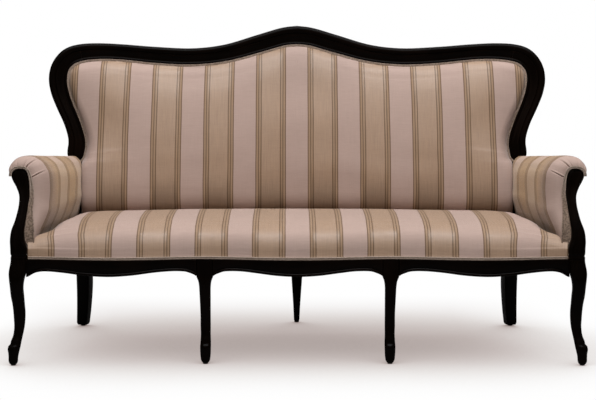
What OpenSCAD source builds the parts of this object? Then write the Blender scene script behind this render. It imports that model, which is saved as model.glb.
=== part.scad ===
// Three-seater settee: carved show-wood frame, tight upholstery in striped fabric.
// Millimetres. +X to the right, +Y to the rear, +Z up, floor at z = 0,
// origin on the floor under the middle of the settee.

/* [Sizes] */
// Height of the top edge of the front seat rail
rail_top = 340; // [330:1:345]
// Depth of the plain seat rails (side and rear)
rail_deep = 50; // [46:1:52]
// Thickness of the side, rear and front rails
rail_thick = 28; // [26:1:30]
// Height of the seat crown above the rail top
seat_crown = 114; // [90:1:125]
// How far the back padding stands in front of the frame
back_pad = 70; // [45:1:80]
// Height of the arm roll at its front end
arm_top = 663; // [655:1:672]
// Thickness of the cover cloth with its wadding
cloth = 3; // [2:0.5:4]

/* [Frame] */
// Half thickness, front to back, of a front leg's head
head_d = 22; // [18:1:24]
// Width of a mid-front leg's head
mid_head_w = 56; // [50:2:60]
// Distance of the mid-front legs from the middle
mid_leg_x = 298; // [290:2:310]
// Diameter of the frame dowels
dowel_d = 10; // [8:1:12]
// Diameter of the corner-block screws' shanks
screw_d = 5; // [4:0.5:6]

/* [Springs and feet] */
// Number of zig-zag seat springs
springs = 11; // [7:2:13]
// Spacing of the zig-zag seat springs
spring_pitch = 128; // [110:2:130]
// Wire of the zig-zag seat springs
spring_wire = 3.6; // [3:0.2:4]
// Diameter of the glides under the legs
glide_d = 17; // [15:1:18]
// Height of the glides
glide_h = 5; // [4:0.5:6]

/* [Hidden] */
$fn = 32;

RB = rail_top - rail_deep;               // underside of the side and rear rails

// ---------- small maths ----------
function cr(a, b, c, d, t) = 0.5 * (2*b + (c-a)*t + (2*a-5*b+4*c-d)*t*t + (3*b-a-3*c+d)*t*t*t);
// smooth curve through the points P, t from 0 to 1
function sp(P, t) = let(n = len(P)-1, s = min(max(t,0)*n, n-0.000001), i = floor(s), f = s-i)
  cr(P[max(i-1,0)], P[i], P[i+1], P[min(i+2,n)], f);
// smooth table: rows [key, values...], keys rising
function seg(T, k, i=0) = (i >= len(T)-2 || k < T[i+1][0]) ? i : seg(T, k, i+1);
function tab(T, k) = let(i = seg(T, k), f = min(1, max(0, (k-T[i][0])/(T[i+1][0]-T[i][0]))), n = len(T)-1)
  cr(T[max(i-1,0)], T[i], T[i+1], T[min(i+2,n)], f);
function mix(a, b, t) = a + (b-a)*t;
function unit(v) = v / norm(v);
function steps(n) = [for (i=[0:n]) i/n];
// quarter-round rise from 0 to 1 over s0
function rise(s, s0) = let(q = 1 - min(1, max(0, s)/s0)) sqrt(max(0, 1 - q*q));

// closed skin through rings of equal length
module loft(R, flip=false) {
  n = len(R[0]); m = len(R);
  F = concat([[for (j=[0:n-1]) j]],
    [for (i=[0:m-2]) for (j=[0:n-1]) for (q=[0:1])
      let(a=i*n+j, b=i*n+(j+1)%n, c=(i+1)*n+(j+1)%n, d=(i+1)*n+j) q==0 ? [a,d,c] : [a,c,b]],
    [[for (j=[0:n-1]) (m-1)*n + n-1-j]]);
  polyhedron([for (r=R) each r],
    flip ? [for (f=F) [for (k=[len(f)-1:-1:0]) f[k]]] : F, convexity=6);
}
// closed sheet between an outer grid A and an inner grid B
module slab(A, B, flip=false) {
  m = len(A); n = len(A[0]); o = m*n;
  F = concat(
    [for (i=[0:m-2]) for (j=[0:n-2]) for (q=[0:3])
      let(a=i*n+j, b=a+1, c=a+n+1, d=a+n)
      q==0 ? [a,d,c] : q==1 ? [a,c,b] : q==2 ? [o+a,o+c,o+d] : [o+a,o+b,o+c]],
    [for (j=[0:n-2]) for (q=[0:3]) let(e=(m-1)*n)
      q==0 ? [j,j+1,o+j+1] : q==1 ? [j,o+j+1,o+j] :
      q==2 ? [e+j+1,e+j,o+e+j] : [e+j+1,o+e+j,o+e+j+1]],
    [for (i=[0:m-2]) for (q=[0:3]) let(a=i*n, d=a+n, b=a+n-1, c=d+n-1)
      q==0 ? [d,a,o+a] : q==1 ? [d,o+a,o+d] : q==2 ? [b,c,o+c] : [b,o+c,o+b]]);
  polyhedron(concat([for (r=A) each r], [for (r=B) each r]),
    flip ? [for (f=F) [f[2],f[1],f[0]]] : F, convexity=6);
}
// round-ish tube along points P
module tube(P, rx, rz, k=6) {
  m = len(P);
  loft([for (i=[0:m-1]) let(t = unit(P[min(i+1,m-1)]-P[max(i-1,0)]),
      u = unit(cross(abs(t[2])>0.8 ? [0,1,0] : [0,0,1], t)), w = cross(t, u))
    [for (j=[0:k-1]) P[i] + u*rx*cos(j*360/k) + w*rz*sin(j*360/k)]]);
}
module side(s) { if (s < 0) mirror([1,0,0]) children(); else children(); }
// cylinder from a towards b
module rod(a, b, d, fn=24) {
  v = b - a; l = norm(v);
  translate(a) rotate([0, acos(v[2]/l), atan2(v[1], v[0])]) cylinder(d=d, h=l, $fn=fn);
}

// ---------- reference surfaces ----------
// middle of the back frame: raked, and hollow in plan
function by(x, z) = 230 + 0.19*(z-420) - 0.000117*x*x;
// front face of the seat rail in plan
FR = [[-1,-345],[0,-370],[100,-366],[200,-352],[298,-343],[400,-352],[500,-366],[590,-372],[680,-367],[780,-353],[868,-345],[1000,-342]];
function yf(x) = tab(FR, abs(x))[1];
// inner face of the right arm at depth y, and outer face
function xin(y) = 802 - 0.16*(y+220);
function xout(y) = 925 - 0.275*(y+220);
function ztop(y) = arm_top - 0.094*(y+235);

// ---------- crest and stile ----------
// middle line of the moulded frame, x z half-width, from the middle of the crest down the stile
MF = [[0,1044.5,32.5],[52,1038.5,31.5],[137,1014,31],[254,982,29],[371,969.5,28.3],[500,975,28],
  [620,986,26.5],[700,989,27.5],[762,984,29.5],[802.5,969,31],[828,937,30.5],[836,897,30.8],
  [830,852.5,29.5],[813.5,803.5,27.5],[789,747,26.5],[773.5,700,27],[769,668,28],[771,640,26],[772,600,23]];
JT = 8/18;                 // crest and stile meet here on the curve
function mft(t) = sp(MF, t);
function mtan(t) = let(a = mft(t-0.004), b = mft(t+0.004)) unit([b[0]-a[0], b[1]-a[1]]);
function mnor(t) = let(v = mtan(t)) [-v[1], v[0]];
// moulded section: inner tongue, cove, outer bead; n = outwards, y = to the rear
function sect(w) = [[-w-10,2],[-w,2],[-w,-9],[-w+5,-14],[-w*0.35,-13],[-w*0.1,-18],[w*0.3,-22],
  [w*0.72,-20.5],[w*0.95,-13],[w,-3],[w,8],[w*0.88,15],[-w*0.5,17],[-w-10,14]];
function mring(t, s=1) = let(m = mft(t), n = mnor(t))
  [for (p=sect(m[2])) let(x = s*(m[0]+p[0]*n[0]), z = m[1]+p[0]*n[1]) [x, by(x,z)+p[1], z]];
// point on the inner edge of the moulding, d further in, right half
function inner(t, d=0) = let(m = mft(t), n = mnor(t)) [m[0]-(m[2]+d)*n[0], m[1]-(m[2]+d)*n[1]];
// a point on the frame at curve place t, n outwards, y to the rear
function fpt(t, n, y) = let(m = mft(t), q = mnor(t), x = m[0]+n*q[0], z = m[1]+n*q[1]) [x, by(x,z)+y, z];

module crest_dowel(n, d, la, lb) {       // along the joint, n across the width
  p = fpt(JT, n, -2); v = mtan(JT);
  dir = unit([v[0], by(p[0]+v[0],p[2]+v[1])-by(p[0],p[2]), v[1]]);
  rod(p - dir*la, p + dir*lb, d);
}
UX = 250;                                // the two uprights behind the padding
module crest_rail() color([0.13,0.09,0.07]) difference() {
  loft([for (k=[-22:22]) let(t = JT*abs(k)/22) k<0 ? mring(t,-1) : mring(t)], true);
  for (s=[1,-1]) side(s) {
    for (n=[-13,13]) crest_dowel(n, dowel_d+0.2, 32, 5);
    translate([UX, by(UX,930)+8, 925]) rotate([-10.8,0,0]) cylinder(d=6.2, h=40);
  }
}

// ---------- back posts ----------
// plain part: z, x, front face, rear face, half width; the faces are measured from the frame surface
PL = [[0,772,135,169,19],[60,764.5,104,141,21],[125,757,67,108,22.5],[180,752.5,38,81,23.5],[230,751,13,56,23],[284,751,-16,35,22],
  [312,751.5,-18,26,22],[340,752,-18,22,22],[440,755,-18,22,22],[520,760,-18,22,22],[606,771,-17,20,22]];
function post_c(z) = let(r = tab(PL,z)) [r[1], by(r[1],max(z,340)) + (r[2]+r[3])/2, z];
function oct(c, hx, hy, ch, a=0) = [for (p=[[-hx+ch,-hy],[hx-ch,-hy],[hx,-hy+ch],[hx,hy-ch],[hx-ch,hy],[-hx+ch,hy],[-hx,hy-ch],[-hx,-hy+ch]])
  [c[0]+p[0]*cos(a)-p[1]*sin(a), c[1]+p[0]*sin(a)+p[1]*cos(a), c[2]]];
// plain ring with as many points as the moulded one, so stile and post are one skin
function pring(z) = let(r = tab(PL,z), c = post_c(z), hx = r[4], hy = (r[3]-r[2])/2, a = 17.5*min(1,max(0,(440-z)/90)), k = 5)
  [for (p=[[-hx,0],[-hx,-0.4*hy],[-hx,-hy+k],[-hx+k,-hy],[-0.35*hx,-hy],[-0.1*hx,-hy],[0.3*hx,-hy],[hx-k,-hy],[hx,-hy+k],[hx,-0.2*hy],
    [hx,hy-k],[hx-k,hy],[-hx+k,hy],[-hx,hy-k]]) [c[0]+p[0]*cos(a)-p[1]*sin(a), c[1]+p[0]*sin(a)+p[1]*cos(a), z]];
module back_post_r() difference() {
  // moulded stile from the crest joint down, then the plain post and the raked leg
  loft(concat([for (k=[0:19]) mring(mix(JT, 17.4/18, k/19))],
    [for (z=[606,560,520,480,440,410,380,345,312,284,258,230,205,180,155,125,95,60,30,glide_h]) pring(z)]), true);
  for (n=[-13,13]) crest_dowel(n, dowel_d+0.2, 5, 32);
  // dowel holes for the rear rail, the side rail, the arm rail and the foot nail
  for (z=[304,326]) { post_rail_dowel(z, dowel_d+0.2); post_side_dowel(z, dowel_d+0.2); }
  rod(ARM_B + (ARM_A-ARM_B)*0.02, ARM_B - unit(ARM_A-ARM_B)*22, dowel_d+0.2);
  translate([772, post_c(0)[1], 0]) cylinder(d=3, h=26, $fn=16);
}
DZ = [299,316];                          // heights of the dowels in the seat rails
RO = -6;                                 // the rear rail stands this far in front of the frame surface
module post_rail_dowel(z, d, l=26) { a = [748, by(748,320)+RO+3, z-6]; rod(a, a + unit([704, by(704,320)+RO, z-6]-a)*(18+l), d); }
SR_A = [893,-316]; SR_B = [757.5,130.5];  // ends of the side rail's middle line
SR_V = unit(SR_A - SR_B);
module post_side_dowel(z, d, l=26) rod([each (SR_B - SR_V*18), z+7], [each (SR_B + SR_V*l), z+7], d);

// ---------- middle rear leg ----------
// z, distance behind the frame surface, half width, half depth
RC = [[0,148,10,11],[45,125,11.5,13],[105,95,14.5,16],[175,57,18.5,19],[230,25,21,20],[290,-6,22,18]];
function rc_y(z) = by(0,340) + tab(RC,z)[1];
module rear_leg_c() difference() {
  loft([for (z=[glide_h,20,45,75,105,140,175,210,250,RB-0.3]) let(r = tab(RC,z))
    oct([0, rc_y(z), z], r[2], r[3], 4)]);
  for (s=[-11,11]) rod([s,by(0,340)-9,262], [s,by(0,340)-9,330], dowel_d+0.2);
  translate([0, rc_y(0), 0]) cylinder(d=3, h=26, $fn=16);
}

// ---------- front legs ----------
// z, x, y, half width, half depth, squareness
LF = [[0,912,-362,13.5,12.5],[14,912,-362,15,14],[28,911.5,-361,15.5,15],[48,910,-358,18,17],[58,908,-355,18.5,17.5],
  [67,906,-351,18,16.5],[93,899,-340,15.4,15],[119,894.8,-335,16.3,15.5],[145,893.5,-335,18,17],[171,893.3,-338,19,18],
  [197,894.6,-343,19.4,19.5],[223,896.5,-349,20.8,21],[249,898,-352,21,23],[275,897.5,-352,23.5,24],[300,895,-346,27,24],[338,891.5,-338,25,head_d]];
LM = [[0,297,-338,12.5,12.5],[14,297,-338,15,14.5],[28,297,-337,16.6,16],[53,297,-335,17.5,17],[70,296.5,-330,17,16],
  [92,296.5,-322,16,15.5],[120,297,-316,16.5,16],[157,297,-316,16.5,18],[209,297.5,-323,17.5,21],[248,298,-327,18.5,23],
  [268,298,-326,21,24],[285,mid_leg_x,-323,mid_head_w/2-1,24],[rail_top,mid_leg_x,-321,mid_head_w/2,head_d]];
function ell(c, hx, hy, e) = [for (a=[0:30:330]) let(ca=cos(a), sa=sin(a))
  [c[0]+hx*sign(ca)*pow(abs(ca),e), c[1]+hy*sign(sa)*pow(abs(sa),e), c[2]]];
module front_leg_r() difference() {
  loft([for (z=[glide_h,14,28,48,58,67,80,93,119,145,171,197,223,249,275,300,320,338]) let(r = tab(LF,z))
    ell([r[1],r[2],z], r[3], r[4], z > 290 ? 0.45 : z > 60 ? 0.75 : 0.95)]);
  // side-rail, front-rail and stump dowels
  for (z=DZ) { rod([each (SR_A - SR_V*26), z], [each (SR_A + SR_V*18), z], dowel_d+0.2);
    rod([840,-332,z+5], [885,-332,z+5], dowel_d+0.2); }
  translate([897,-337,326]) cylinder(d=12.3, h=60);
  translate([912,-362,0]) cylinder(d=3, h=26, $fn=16);
}
module front_leg_mid_r() difference() {
  loft([for (z=[glide_h,14,28,53,70,92,120,157,209,248,262,275,285,310,rail_top]) let(r = tab(LM,z))
    ell([r[1],r[2],z], r[3], r[4], z > 280 ? 0.35 : z > 60 ? 0.7 : 0.95)]);
  for (z=[305,325]) for (s=[1,-1])
    rod([mid_leg_x+s*12,-324,z], [mid_leg_x+s*55,-324,z], dowel_d+0.2);
  rod([mid_leg_x,-330,318], [mid_leg_x,-280,318], dowel_d+0.2);
  translate([297,-338,0]) cylinder(d=3, h=26, $fn=16);
}

// ---------- arm stumps ----------
// z, y, inner x, outer x
ST = [[338,-338,867,917],[375,-334,862.5,918.5],[400,-328,871,919],[430,-318,873,914],[460,-305,868,906],[490,-291,864,900],
  [515,-280,860,898],[540,-270,857,901],[565,-263,860,908],[585,-260,862,918],[600,-258,866,923],[612,-257,873,918],[621,-256,887,906]];
function st(z) = tab(ST, z);
module arm_stump_r() difference() {
  union() {
    loft([for (z=[338.4,355,375,388,400,415,430,445,460,475,490,505,515,528,540,552,565,575,585,593,600,606,612,617,621])
      let(r = st(z)) ell([(r[2]+r[3])/2, r[1], z], (r[3]-r[2])/2, z < 600 ? 20 : 19, 0.5)]);
    translate([897,-337,326.4]) cylinder(d=12, h=36);
  }
  rod(ARM_A - unit(ARM_A-ARM_B)*30, ARM_A + unit(ARM_A-ARM_B)*16, dowel_d+0.2);
  rod(TR_A - unit(TR_A-TR_B)*20, TR_A + unit(TR_A-TR_B)*17, 8.2);
}

// ---------- rails ----------
// elevation of the front rail's lower edge, x z
FE = [[0,287],[70,290.5],[147,299],[190,302.5],[235,301],[262,291.5],[278,282]];
FO = [[318,282],[334,291.5],[360,300.5],[400,302.5],[460,299],[530,291],[605,287],[680,290.5],[750,298],[810,301.5],[840,296.5],[868,282]];
// plan outline of a front rail between x = a and b
function plan(a, b, th, n) = concat([for (k=[0:n]) let(x=mix(a,b,k/n)) [x,yf(x)]],
  [for (k=[n:-1:0]) let(x=mix(a,b,k/n)) [x,yf(x)+th]]);
module rail_body(a, b, th, P, n=14) intersection() {
  linear_extrude(height=rail_top) polygon(plan(a, b, th, n));
  translate([0,-200,0]) rotate([90,0,0]) linear_extrude(height=250)
    polygon(concat([for (k=[0:n]) let(t=k/n) sp(P,t)], [[b+5,rail_top+5],[a-5,rail_top+5]]));
}
module front_rail_c() difference() {
  rail_body(-(mid_leg_x-28.4), mid_leg_x-28.4, rail_thick+12,
    [for (k=[len(FE)-1:-1:1]) [-FE[k][0],FE[k][1]], each FE], 24);
  for (z=[305,325]) for (s=[1,-1]) rod([s*(mid_leg_x-12),-324,z], [s*(mid_leg_x-55),-324,z], dowel_d+0.2);
}
module front_rail_r() difference() {
  rail_body(mid_leg_x+28.4, 866, rail_thick+12, FO, 24);
  for (z=[305,325]) rod([mid_leg_x+12,-324,z], [mid_leg_x+55,-324,z], dowel_d+0.2);
  for (z=DZ) rod([838,-332,z+5], [885,-332,z+5], dowel_d+0.2);
  for (q=block_screws(0)) rod(q[0], q[1], screw_d);
  // room for the corner leg's head
  translate([891.5,-338,270]) linear_extrude(height=80) offset(delta=0.4)
    polygon([for (p=ell([0,0,0],27,24.5,0.45)) [p[0],p[1]]]);
}
// straight piece with a sloping end line: a and b are its end middles, cut square to Y
module bar(a, b, w, h) loft([for (q=[a,b]) [for (p=[[-w/2,-h/2],[-w/2,h/2],[w/2,h/2],[w/2,-h/2]]) [q[0]+p[0], q[1], q[2]+p[1]]]]);
module side_rail_r() difference() {
  v = SR_B - SR_A; l = norm(v);
  intersection() {
    translate([each SR_A, RB]) rotate([0,0,atan2(v[1],v[0])]) translate([-20,-rail_thick/2,0]) cube([l+19.4, rail_thick, rail_deep]);
    translate([700,-315.4,RB-1]) cube([240,500,rail_deep+2]);
  }
  for (z=DZ) rod([each (SR_A - SR_V*26), z], [each (SR_A + SR_V*18), z], dowel_d+0.2);
  for (z=[304,326]) post_side_dowel(z, dowel_d+0.2);
  for (i=[0,1]) rod(block_screws(i)[1][0], block_screws(i)[1][1], screw_d);
}
function arc(x0, x1, z, o, n) = [for (k=[0:n]) let(x=mix(x0,x1,k/n)) [x, by(x,z)+o]];
function band(x1, z, o1, o2, n) = concat(arc(-x1,x1,z,o1,n), [for (k=[n:-1:0]) let(x=mix(-x1,x1,k/n)) [x, by(x,z)+o2]]);
module rear_rail_m() difference() {
  translate([0,0,RB]) linear_extrude(height=rail_deep) polygon(band(726, 320, RO-14, RO+rail_thick-14, 24));
  for (s=[1,-1]) side(s) for (z=[304,326]) post_rail_dowel(z, dowel_d+0.2, 28);
  for (s=[-11,11]) rod([s,by(0,340)-9,255], [s,by(0,340)-9,318], dowel_d+0.2);
  for (s=[1,-1]) rod([s*mid_leg_x,by(300,320)-40,318], [s*mid_leg_x,by(300,320)+2,318], dowel_d+0.2);
  for (s=[1,-1]) side(s) rod(block_screws(1)[0][0], block_screws(1)[0][1], screw_d);
}
module cross_rail_r() difference() {
  y0 = -298.4; y1 = by(mid_leg_x+20,320)+RO-14.5;
  translate([mid_leg_x-20,y0,306]) cube([40, y1-y0, 30]);
  rod([mid_leg_x,y0-5,318], [mid_leg_x,y0+26,318], dowel_d+0.2);
  rod([mid_leg_x,y1-26,318], [mid_leg_x,y1+5,318], dowel_d+0.2);
}
// glued and screwed corner blocks
module block_r(i) {
  P = i == 0 ? [[815,-303.8],[870,-303.8],[868,-296],[853.5,-246]] : [[676,135.6],[731,122.5],[740,117.5],[756,68]];
  difference() {
    translate([0,0,i == 0 ? 306 : 296]) linear_extrude(height=i == 0 ? 30 : 38) polygon(P);
    for (q=block_screws(i)) { rod(q[0], q[1], screw_d+0.4, 20); rod(q[0]-unit(q[1]-q[0])*14, q[0], screw_d*2.3, 20); }
  }
}
function block_screws(i) = i == 0 ? [[[828,-294,316],[840,-327,316]],[[851,-262,316],[876,-254,316]]] :
  [[[704,121,309],[704,153,309]],[[736,96,322],[768,106,322]]];
module corner_blocks_all() for (s=[1,-1]) side(s) for (i=[0,1]) block_r(i);

// ---------- arm rails ----------
ARM_A = [892,-237.5,580];
ARM_B = [777,163,544];
module arm_rail_r() difference() {
  bar(ARM_A, ARM_B, 32, 28);
  rod(ARM_A - unit(ARM_A-ARM_B)*30, ARM_A + unit(ARM_A-ARM_B)*5, dowel_d+0.2);
  rod(ARM_B - unit(ARM_A-ARM_B)*5, ARM_B + unit(ARM_A-ARM_B)*30, dowel_d+0.2);
}
TR_A = [889,-311,374]; TR_B = [766,131,374];
module arm_tack_r() difference() {
  bar(TR_A, TR_B, 10, 24);
  rod(TR_A - unit(TR_A-TR_B)*20, TR_A + unit(TR_A-TR_B)*5, 8.2);
}
// strip that follows the back's hollow: x half-length, z low and high, y front and rear
module strip(x1, z0, z1, y0, y1, n=20) loft([for (k=[0:n]) let(x = mix(-x1,x1,k/n))
  [for (p=[[y0,z0],[y1,z0],[y1,z1],[y0,z1]]) [x, by(x,p[1])+p[0], p[1]]]]);
module back_tack_m() strip(728, 374, 396, 2.6, 15);
module uprights() for (s=[1,-1]) side(s) difference() {
  loft([for (z=[396.5, 937]) [for (p=[[-30,2.6],[30,2.6],[30,15],[-30,15]]) [UX+p[0], by(UX+p[0],z)+p[1], z]]]);
  translate([UX, by(UX,930)+8, 925]) rotate([-10.8,0,0]) translate([0,0,-24]) cylinder(d=6.2, h=50);
}

// ---------- dowels, screws, glides ----------
module dowels_r() {
  for (n=[-13,13]) crest_dowel(n, dowel_d, 30, 30);
  for (z=[304,326]) { post_rail_dowel(z, dowel_d, 25); post_side_dowel(z, dowel_d, 24); }
  for (z=DZ) { rod([each (SR_A - SR_V*24), z], [each (SR_A + SR_V*16), z], dowel_d);
    rod([842,-332,z+5], [884,-332,z+5], dowel_d); }
  for (z=[305,325]) for (s=[1,-1]) rod([mid_leg_x+s*14,-324,z], [mid_leg_x+s*53,-324,z], dowel_d);
  rod([mid_leg_x,-326,318], [mid_leg_x,-276,318], dowel_d);
  rod([mid_leg_x,by(320,320)-42,318], [mid_leg_x,by(300,320)+0.5,318], dowel_d);
  rod(ARM_A - unit(ARM_A-ARM_B)*28, ARM_A + unit(ARM_A-ARM_B)*14, dowel_d);
  rod(ARM_B - unit(ARM_A-ARM_B)*20, ARM_B + unit(ARM_A-ARM_B)*28, dowel_d);
  rod(TR_A - unit(TR_A-TR_B)*18, TR_A + unit(TR_A-TR_B)*15, 8);
  translate([UX, by(UX,930)+8, 925]) rotate([-10.8,0,0]) translate([0,0,-20]) cylinder(d=6, h=58);
}
module dowels_all() { for (s=[1,-1]) side(s) dowels_r();
  for (s=[-11,11]) rod([s,by(0,340)-9,264], [s,by(0,340)-9,316], dowel_d); }
module wood_screw(a, b) { v = unit(b-a); l = norm(b-a);
  rod(a - v*0.5, b - v*7, screw_d-0.4); rod(a - v*2.8, a - v*0.2, screw_d*2.1);
  translate(b - v*7.5) rotate([0, acos(v[2]), atan2(v[1], v[0])]) cylinder(d1=screw_d-0.42, d2=1, h=7.5, $fn=24); }
module block_screws_all() for (s=[1,-1]) side(s) for (i=[0,1]) for (q=block_screws(i)) wood_screw(q[0], q[1]);
FEET = [[912,-362],[297,-338]];
function feet() = concat([for (s=[1,-1]) for (p=FEET) [s*p[0],p[1]]],
  [for (s=[1,-1]) [s*772, post_c(0)[1]]], [[0, rc_y(0)]]);
module glides_all() for (p=feet()) translate([p[0],p[1],0]) difference() {
  rotate_extrude() polygon([[0,0],[glide_d/2-1.4,0],[glide_d/2,1.4],[glide_d/2,glide_h-0.3],[0,glide_h-0.3]]);
  translate([0,0,1.6]) cylinder(d=3, h=10, $fn=16);
}
module nails_all() for (p=feet()) translate([p[0],p[1],1.8]) { cylinder(d=2.6, h=16, $fn=16);
  translate([0,0,16]) cylinder(d1=2.6, d2=0.5, h=4, $fn=16); }

// ---------- seat suspension ----------
SZ = rail_top + 5.2;                    // underside of the springs
function spx(i) = (i-(springs-1)/2)*spring_pitch;
function sp_y0(x) = yf(x) + 27;
function sp_y1(x) = by(x,320) - 2;
module zigzag(x) {
  y0 = sp_y0(x)+2; y1 = sp_y1(x)-2; n = 11; p = (y1-y0)/n; a = 21; w = spring_wire/2;
  // middle line: across, round the bend, back
  L = concat([[x-a*0.5,y0]], [for (k=[0:n-1]) let(s = k%2==0 ? 1 : -1, y = y0+p*k)
    each [[x+s*a*0.55,y],[x+s*a*0.92,y+p*0.16],[x+s*a,y+p*0.5],[x+s*a*0.92,y+p*0.84],[x+s*a*0.55,y+p]]],
    [[x+(n%2==0 ? 1 : -1)*a*0.5,y1]]);
  U = [for (k=[0:len(L)-1]) if (k==0 || norm(L[k]-L[k-1]) > 0.5) L[k]];
  m = len(U)-1;
  N = [for (k=[0:m]) let(t = unit(U[min(k+1,m)]-U[max(k-1,0)])) [-t[1],t[0]]];
  translate([0,0,SZ]) linear_extrude(height=spring_wire)
    polygon(concat([for (k=[0:m]) U[k]+N[k]*w], [for (k=[m:-1:0]) U[k]-N[k]*w]));
}
module springs_all() for (i=[0:springs-1]) zigzag(spx(i));
module clip(x, y, s) {                   // folded steel clip that holds a spring's end wire
  translate([x-9,y,0]) {
    translate([0,s>0?-8:-14,rail_top+0.3]) cube([18,22,1.4]);
    translate([0,s>0?-8:6,rail_top+0.3]) cube([18,2,SZ+spring_wire-rail_top+1.6]);
    translate([0,s>0?-8:-4,SZ+spring_wire+0.5]) cube([18,12,1.4]);
  }
}
module clips_all() for (i=[0:springs-1]) { x = spx(i); clip(x+2, sp_y0(x)+2, 1); clip(x+2, sp_y1(x)-6, -1); }
module ties_all() { r = 1.1; z = SZ+spring_wire+0.3+r; n = (springs-1)/2;
  for (y=[-140,20]) translate([-spx(springs-1)-24,y,z]) rotate([0,90,0]) cylinder(r=r, h=2*spx(springs-1)+48, $fn=16); }

// ---------- seat ----------
function ybk(x) = by(x,420) - back_pad - 4;
// the seat follows the rounded front end of the arm pad
function sxs(y) = mix(859, xin(y)-2.4, y > -311 ? rise((y+311)/430, 0.14) : 0);
// rise of the seat above the rail along the depth: v from 0 front to 1 rear
SV = [[0,0],[0.004,33],[0.021,58],[0.05,79],[0.094,92],[0.146,100],[0.23,105.5],[0.33,109],[0.48,110.5],[0.625,110],[0.756,106.5],[0.875,100.5],[1,92.5],[1.1,84]];
function seat_pt(u, v, i=0) = let(
  ya = yf(u*860)+8+i, yb = ybk(u*745)-i, y = mix(ya, yb, v), x = u*(sxs(y)-i),
  g = 1 - 0.19*pow(abs(u),3), h = tab(SV, v)[1]*seat_crown/112)
  [x, y - 2*sin(180*min(1,v/0.2))*(v<0.2?1:0), rail_top+0.4 + (h > 0 ? h*g*(1-i/100) : 0)];
SU = [-1,-0.97,-0.92,-0.86,-0.8,-0.74,-0.67,-0.6,-0.52,-0.44,-0.35,-0.26,-0.17,-0.08,0,0.08,0.17,0.26,0.35,0.44,0.52,0.6,0.67,0.74,0.8,0.86,0.92,0.97,1];
SW = [0,0.002,0.004,0.011,0.021,0.035,0.05,0.065,0.08,0.1,0.125,0.155,0.19,0.25,0.34,0.45,0.56,0.68,0.8,0.9,1];
module seat_cover_m() slab(
  [for (v=SW) [for (u=SU) seat_pt(u,v)]],
  [for (v=SW) [for (u=SU) let(p=seat_pt(u,mix(0.004,0.996,v),cloth)) v==1 ? [p[0],p[1],p[2]-0.5] : p]]);
module seat_foam_m() { U = [for (u=SU) u*0.985]; V = [for (v=SW) if (v>=0.004) mix(0.006,0.985,(v-0.004)/0.996)];
  F = [for (v=V) [for (u=U) seat_pt(u,v,cloth+1.2)]];
  slab(F, [for (r=F) [for (p=r) [p[0],p[1],SZ+spring_wire+6]]]); }
module hessian_m() { n = 20; translate([0,0,SZ+spring_wire+3.4]) linear_extrude(height=1.2)
  polygon(concat([for (k=[0:n]) let(u=-0.925+1.85*k/n) [u*858, yf(u*858)+22]],
    [for (k=[0:n]) let(u=0.975-1.95*k/n) [u*740, ybk(u*740)+10]])); }
// black bottom cloth: from behind the front rail down to the undersides of the other rails
module dust_m() { n = 44; V = [[0,303.2],[0.1,297],[0.25,290],[0.5,286.5],[0.8,286.8],[1,RB-1.8]];
  dy = function (x) max(yf(x)+41.5, abs(abs(x)-mid_leg_x) < 50 ? -297.2 : -400);
  G = function (u, v, o) let(xa = u*842, xb = u*723, ya = dy(xa), yb = by(xb,320)+RO+8) [mix(xa,xb,v[0]), mix(ya,yb,v[0]), v[1]+o];
  difference() {
    slab([for (v=V) [for (k=[0:n]) G(-1+2*k/n, v, 1.4)]], [for (v=V) [for (k=[0:n]) G(-1+2*k/n, v, 0)]]);
    translate([-23, rc_y(283)-21, 280]) cube([46, 60, 15]);
  }
}

// ---------- back ----------
// side and top of the upholstered field, right half; lower part hangs between the arms
BS = [[744,402],[743.5,465],[742,525],[741.5,572],[739,603],[735,635],[733,676],[749,738],[764,780],[781,825],[793,864],[798,895],[793,921],[780,938]];
function bside(v) = sp(BS, v);
TC = 8.45/18;                            // corner of the field on the moulding curve
function btop(u) = inner(TC*abs(u), 6);
function bfield(u, v) = let(a = abs(u), T = btop(a), S = bside(v), C = [0, mix(402, btop(0)[1], v)], B = [BS[0][0]*a, 402],
    P = (1-v)*B + v*T + (1-a)*C + a*S - ((1-a)*(1-v)*[0,402] + a*(1-v)*BS[0] + (1-a)*v*btop(0) + a*v*btop(1)))
  [sign(u)*P[0], P[1]];
// stand-off of the padding in front of the frame surface
// a low rounded border, then a slow swell towards the middle
function ease(s, s0) = let(q = 1 - min(1, max(0, s)/s0)) 1 - q*q;
function bthick(u, v) = 26 * rise(1-abs(u), 0.05) * rise(1-v, 0.06) + (back_pad-34) * ease(1-abs(u), 0.28) * ease(1-v, 0.38);
// below the stile the pad runs on in front of the post as far as the arm, nearly at full thickness
function bedge(z) = 8 + 50*min(1, max(0, (645-z)/55));
function bpt(u, v, o=0) = let(p = bfield(u, v), e = bedge(p[1])) [p[0], by(p[0],p[1]) - max(e, 8 + bthick(u,v)) + o, p[1]];
BU = [-1,-0.985,-0.955,-0.91,-0.84,-0.75,-0.65,-0.55,-0.45,-0.35,-0.26,-0.18,-0.1,-0.04,0,0.04,0.1,0.18,0.26,0.35,0.45,0.55,0.65,0.75,0.84,0.91,0.955,0.985,1];
BV = [0,0.12,0.24,0.32,0.38,0.43,0.47,0.51,0.56,0.63,0.72,0.81,0.88,0.93,0.97,1];
function shrink(p, k) = [p[0]*(1-k/800), p[1], mix(p[2], 700, k/300)];
module back_cover_m() slab([for (v=BV) [for (u=BU) bpt(u,v)]],
  [for (v=BV) [for (u=BU) shrink(bpt(u,v,cloth), u==1||u==-1||v==0||v==1 ? 0 : 1.2)]]);
module back_foam_m() { F = [for (v=BV) if (v > 0 && v < 0.98) [for (u=BU) if (abs(u) < 0.96) shrink(bpt(u,v,cloth+1.8), 3.2)]];
  slab(F, [for (r=F) [for (p=r) [p[0], by(p[0],p[2])-1.6, p[2]]]]); }
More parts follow.
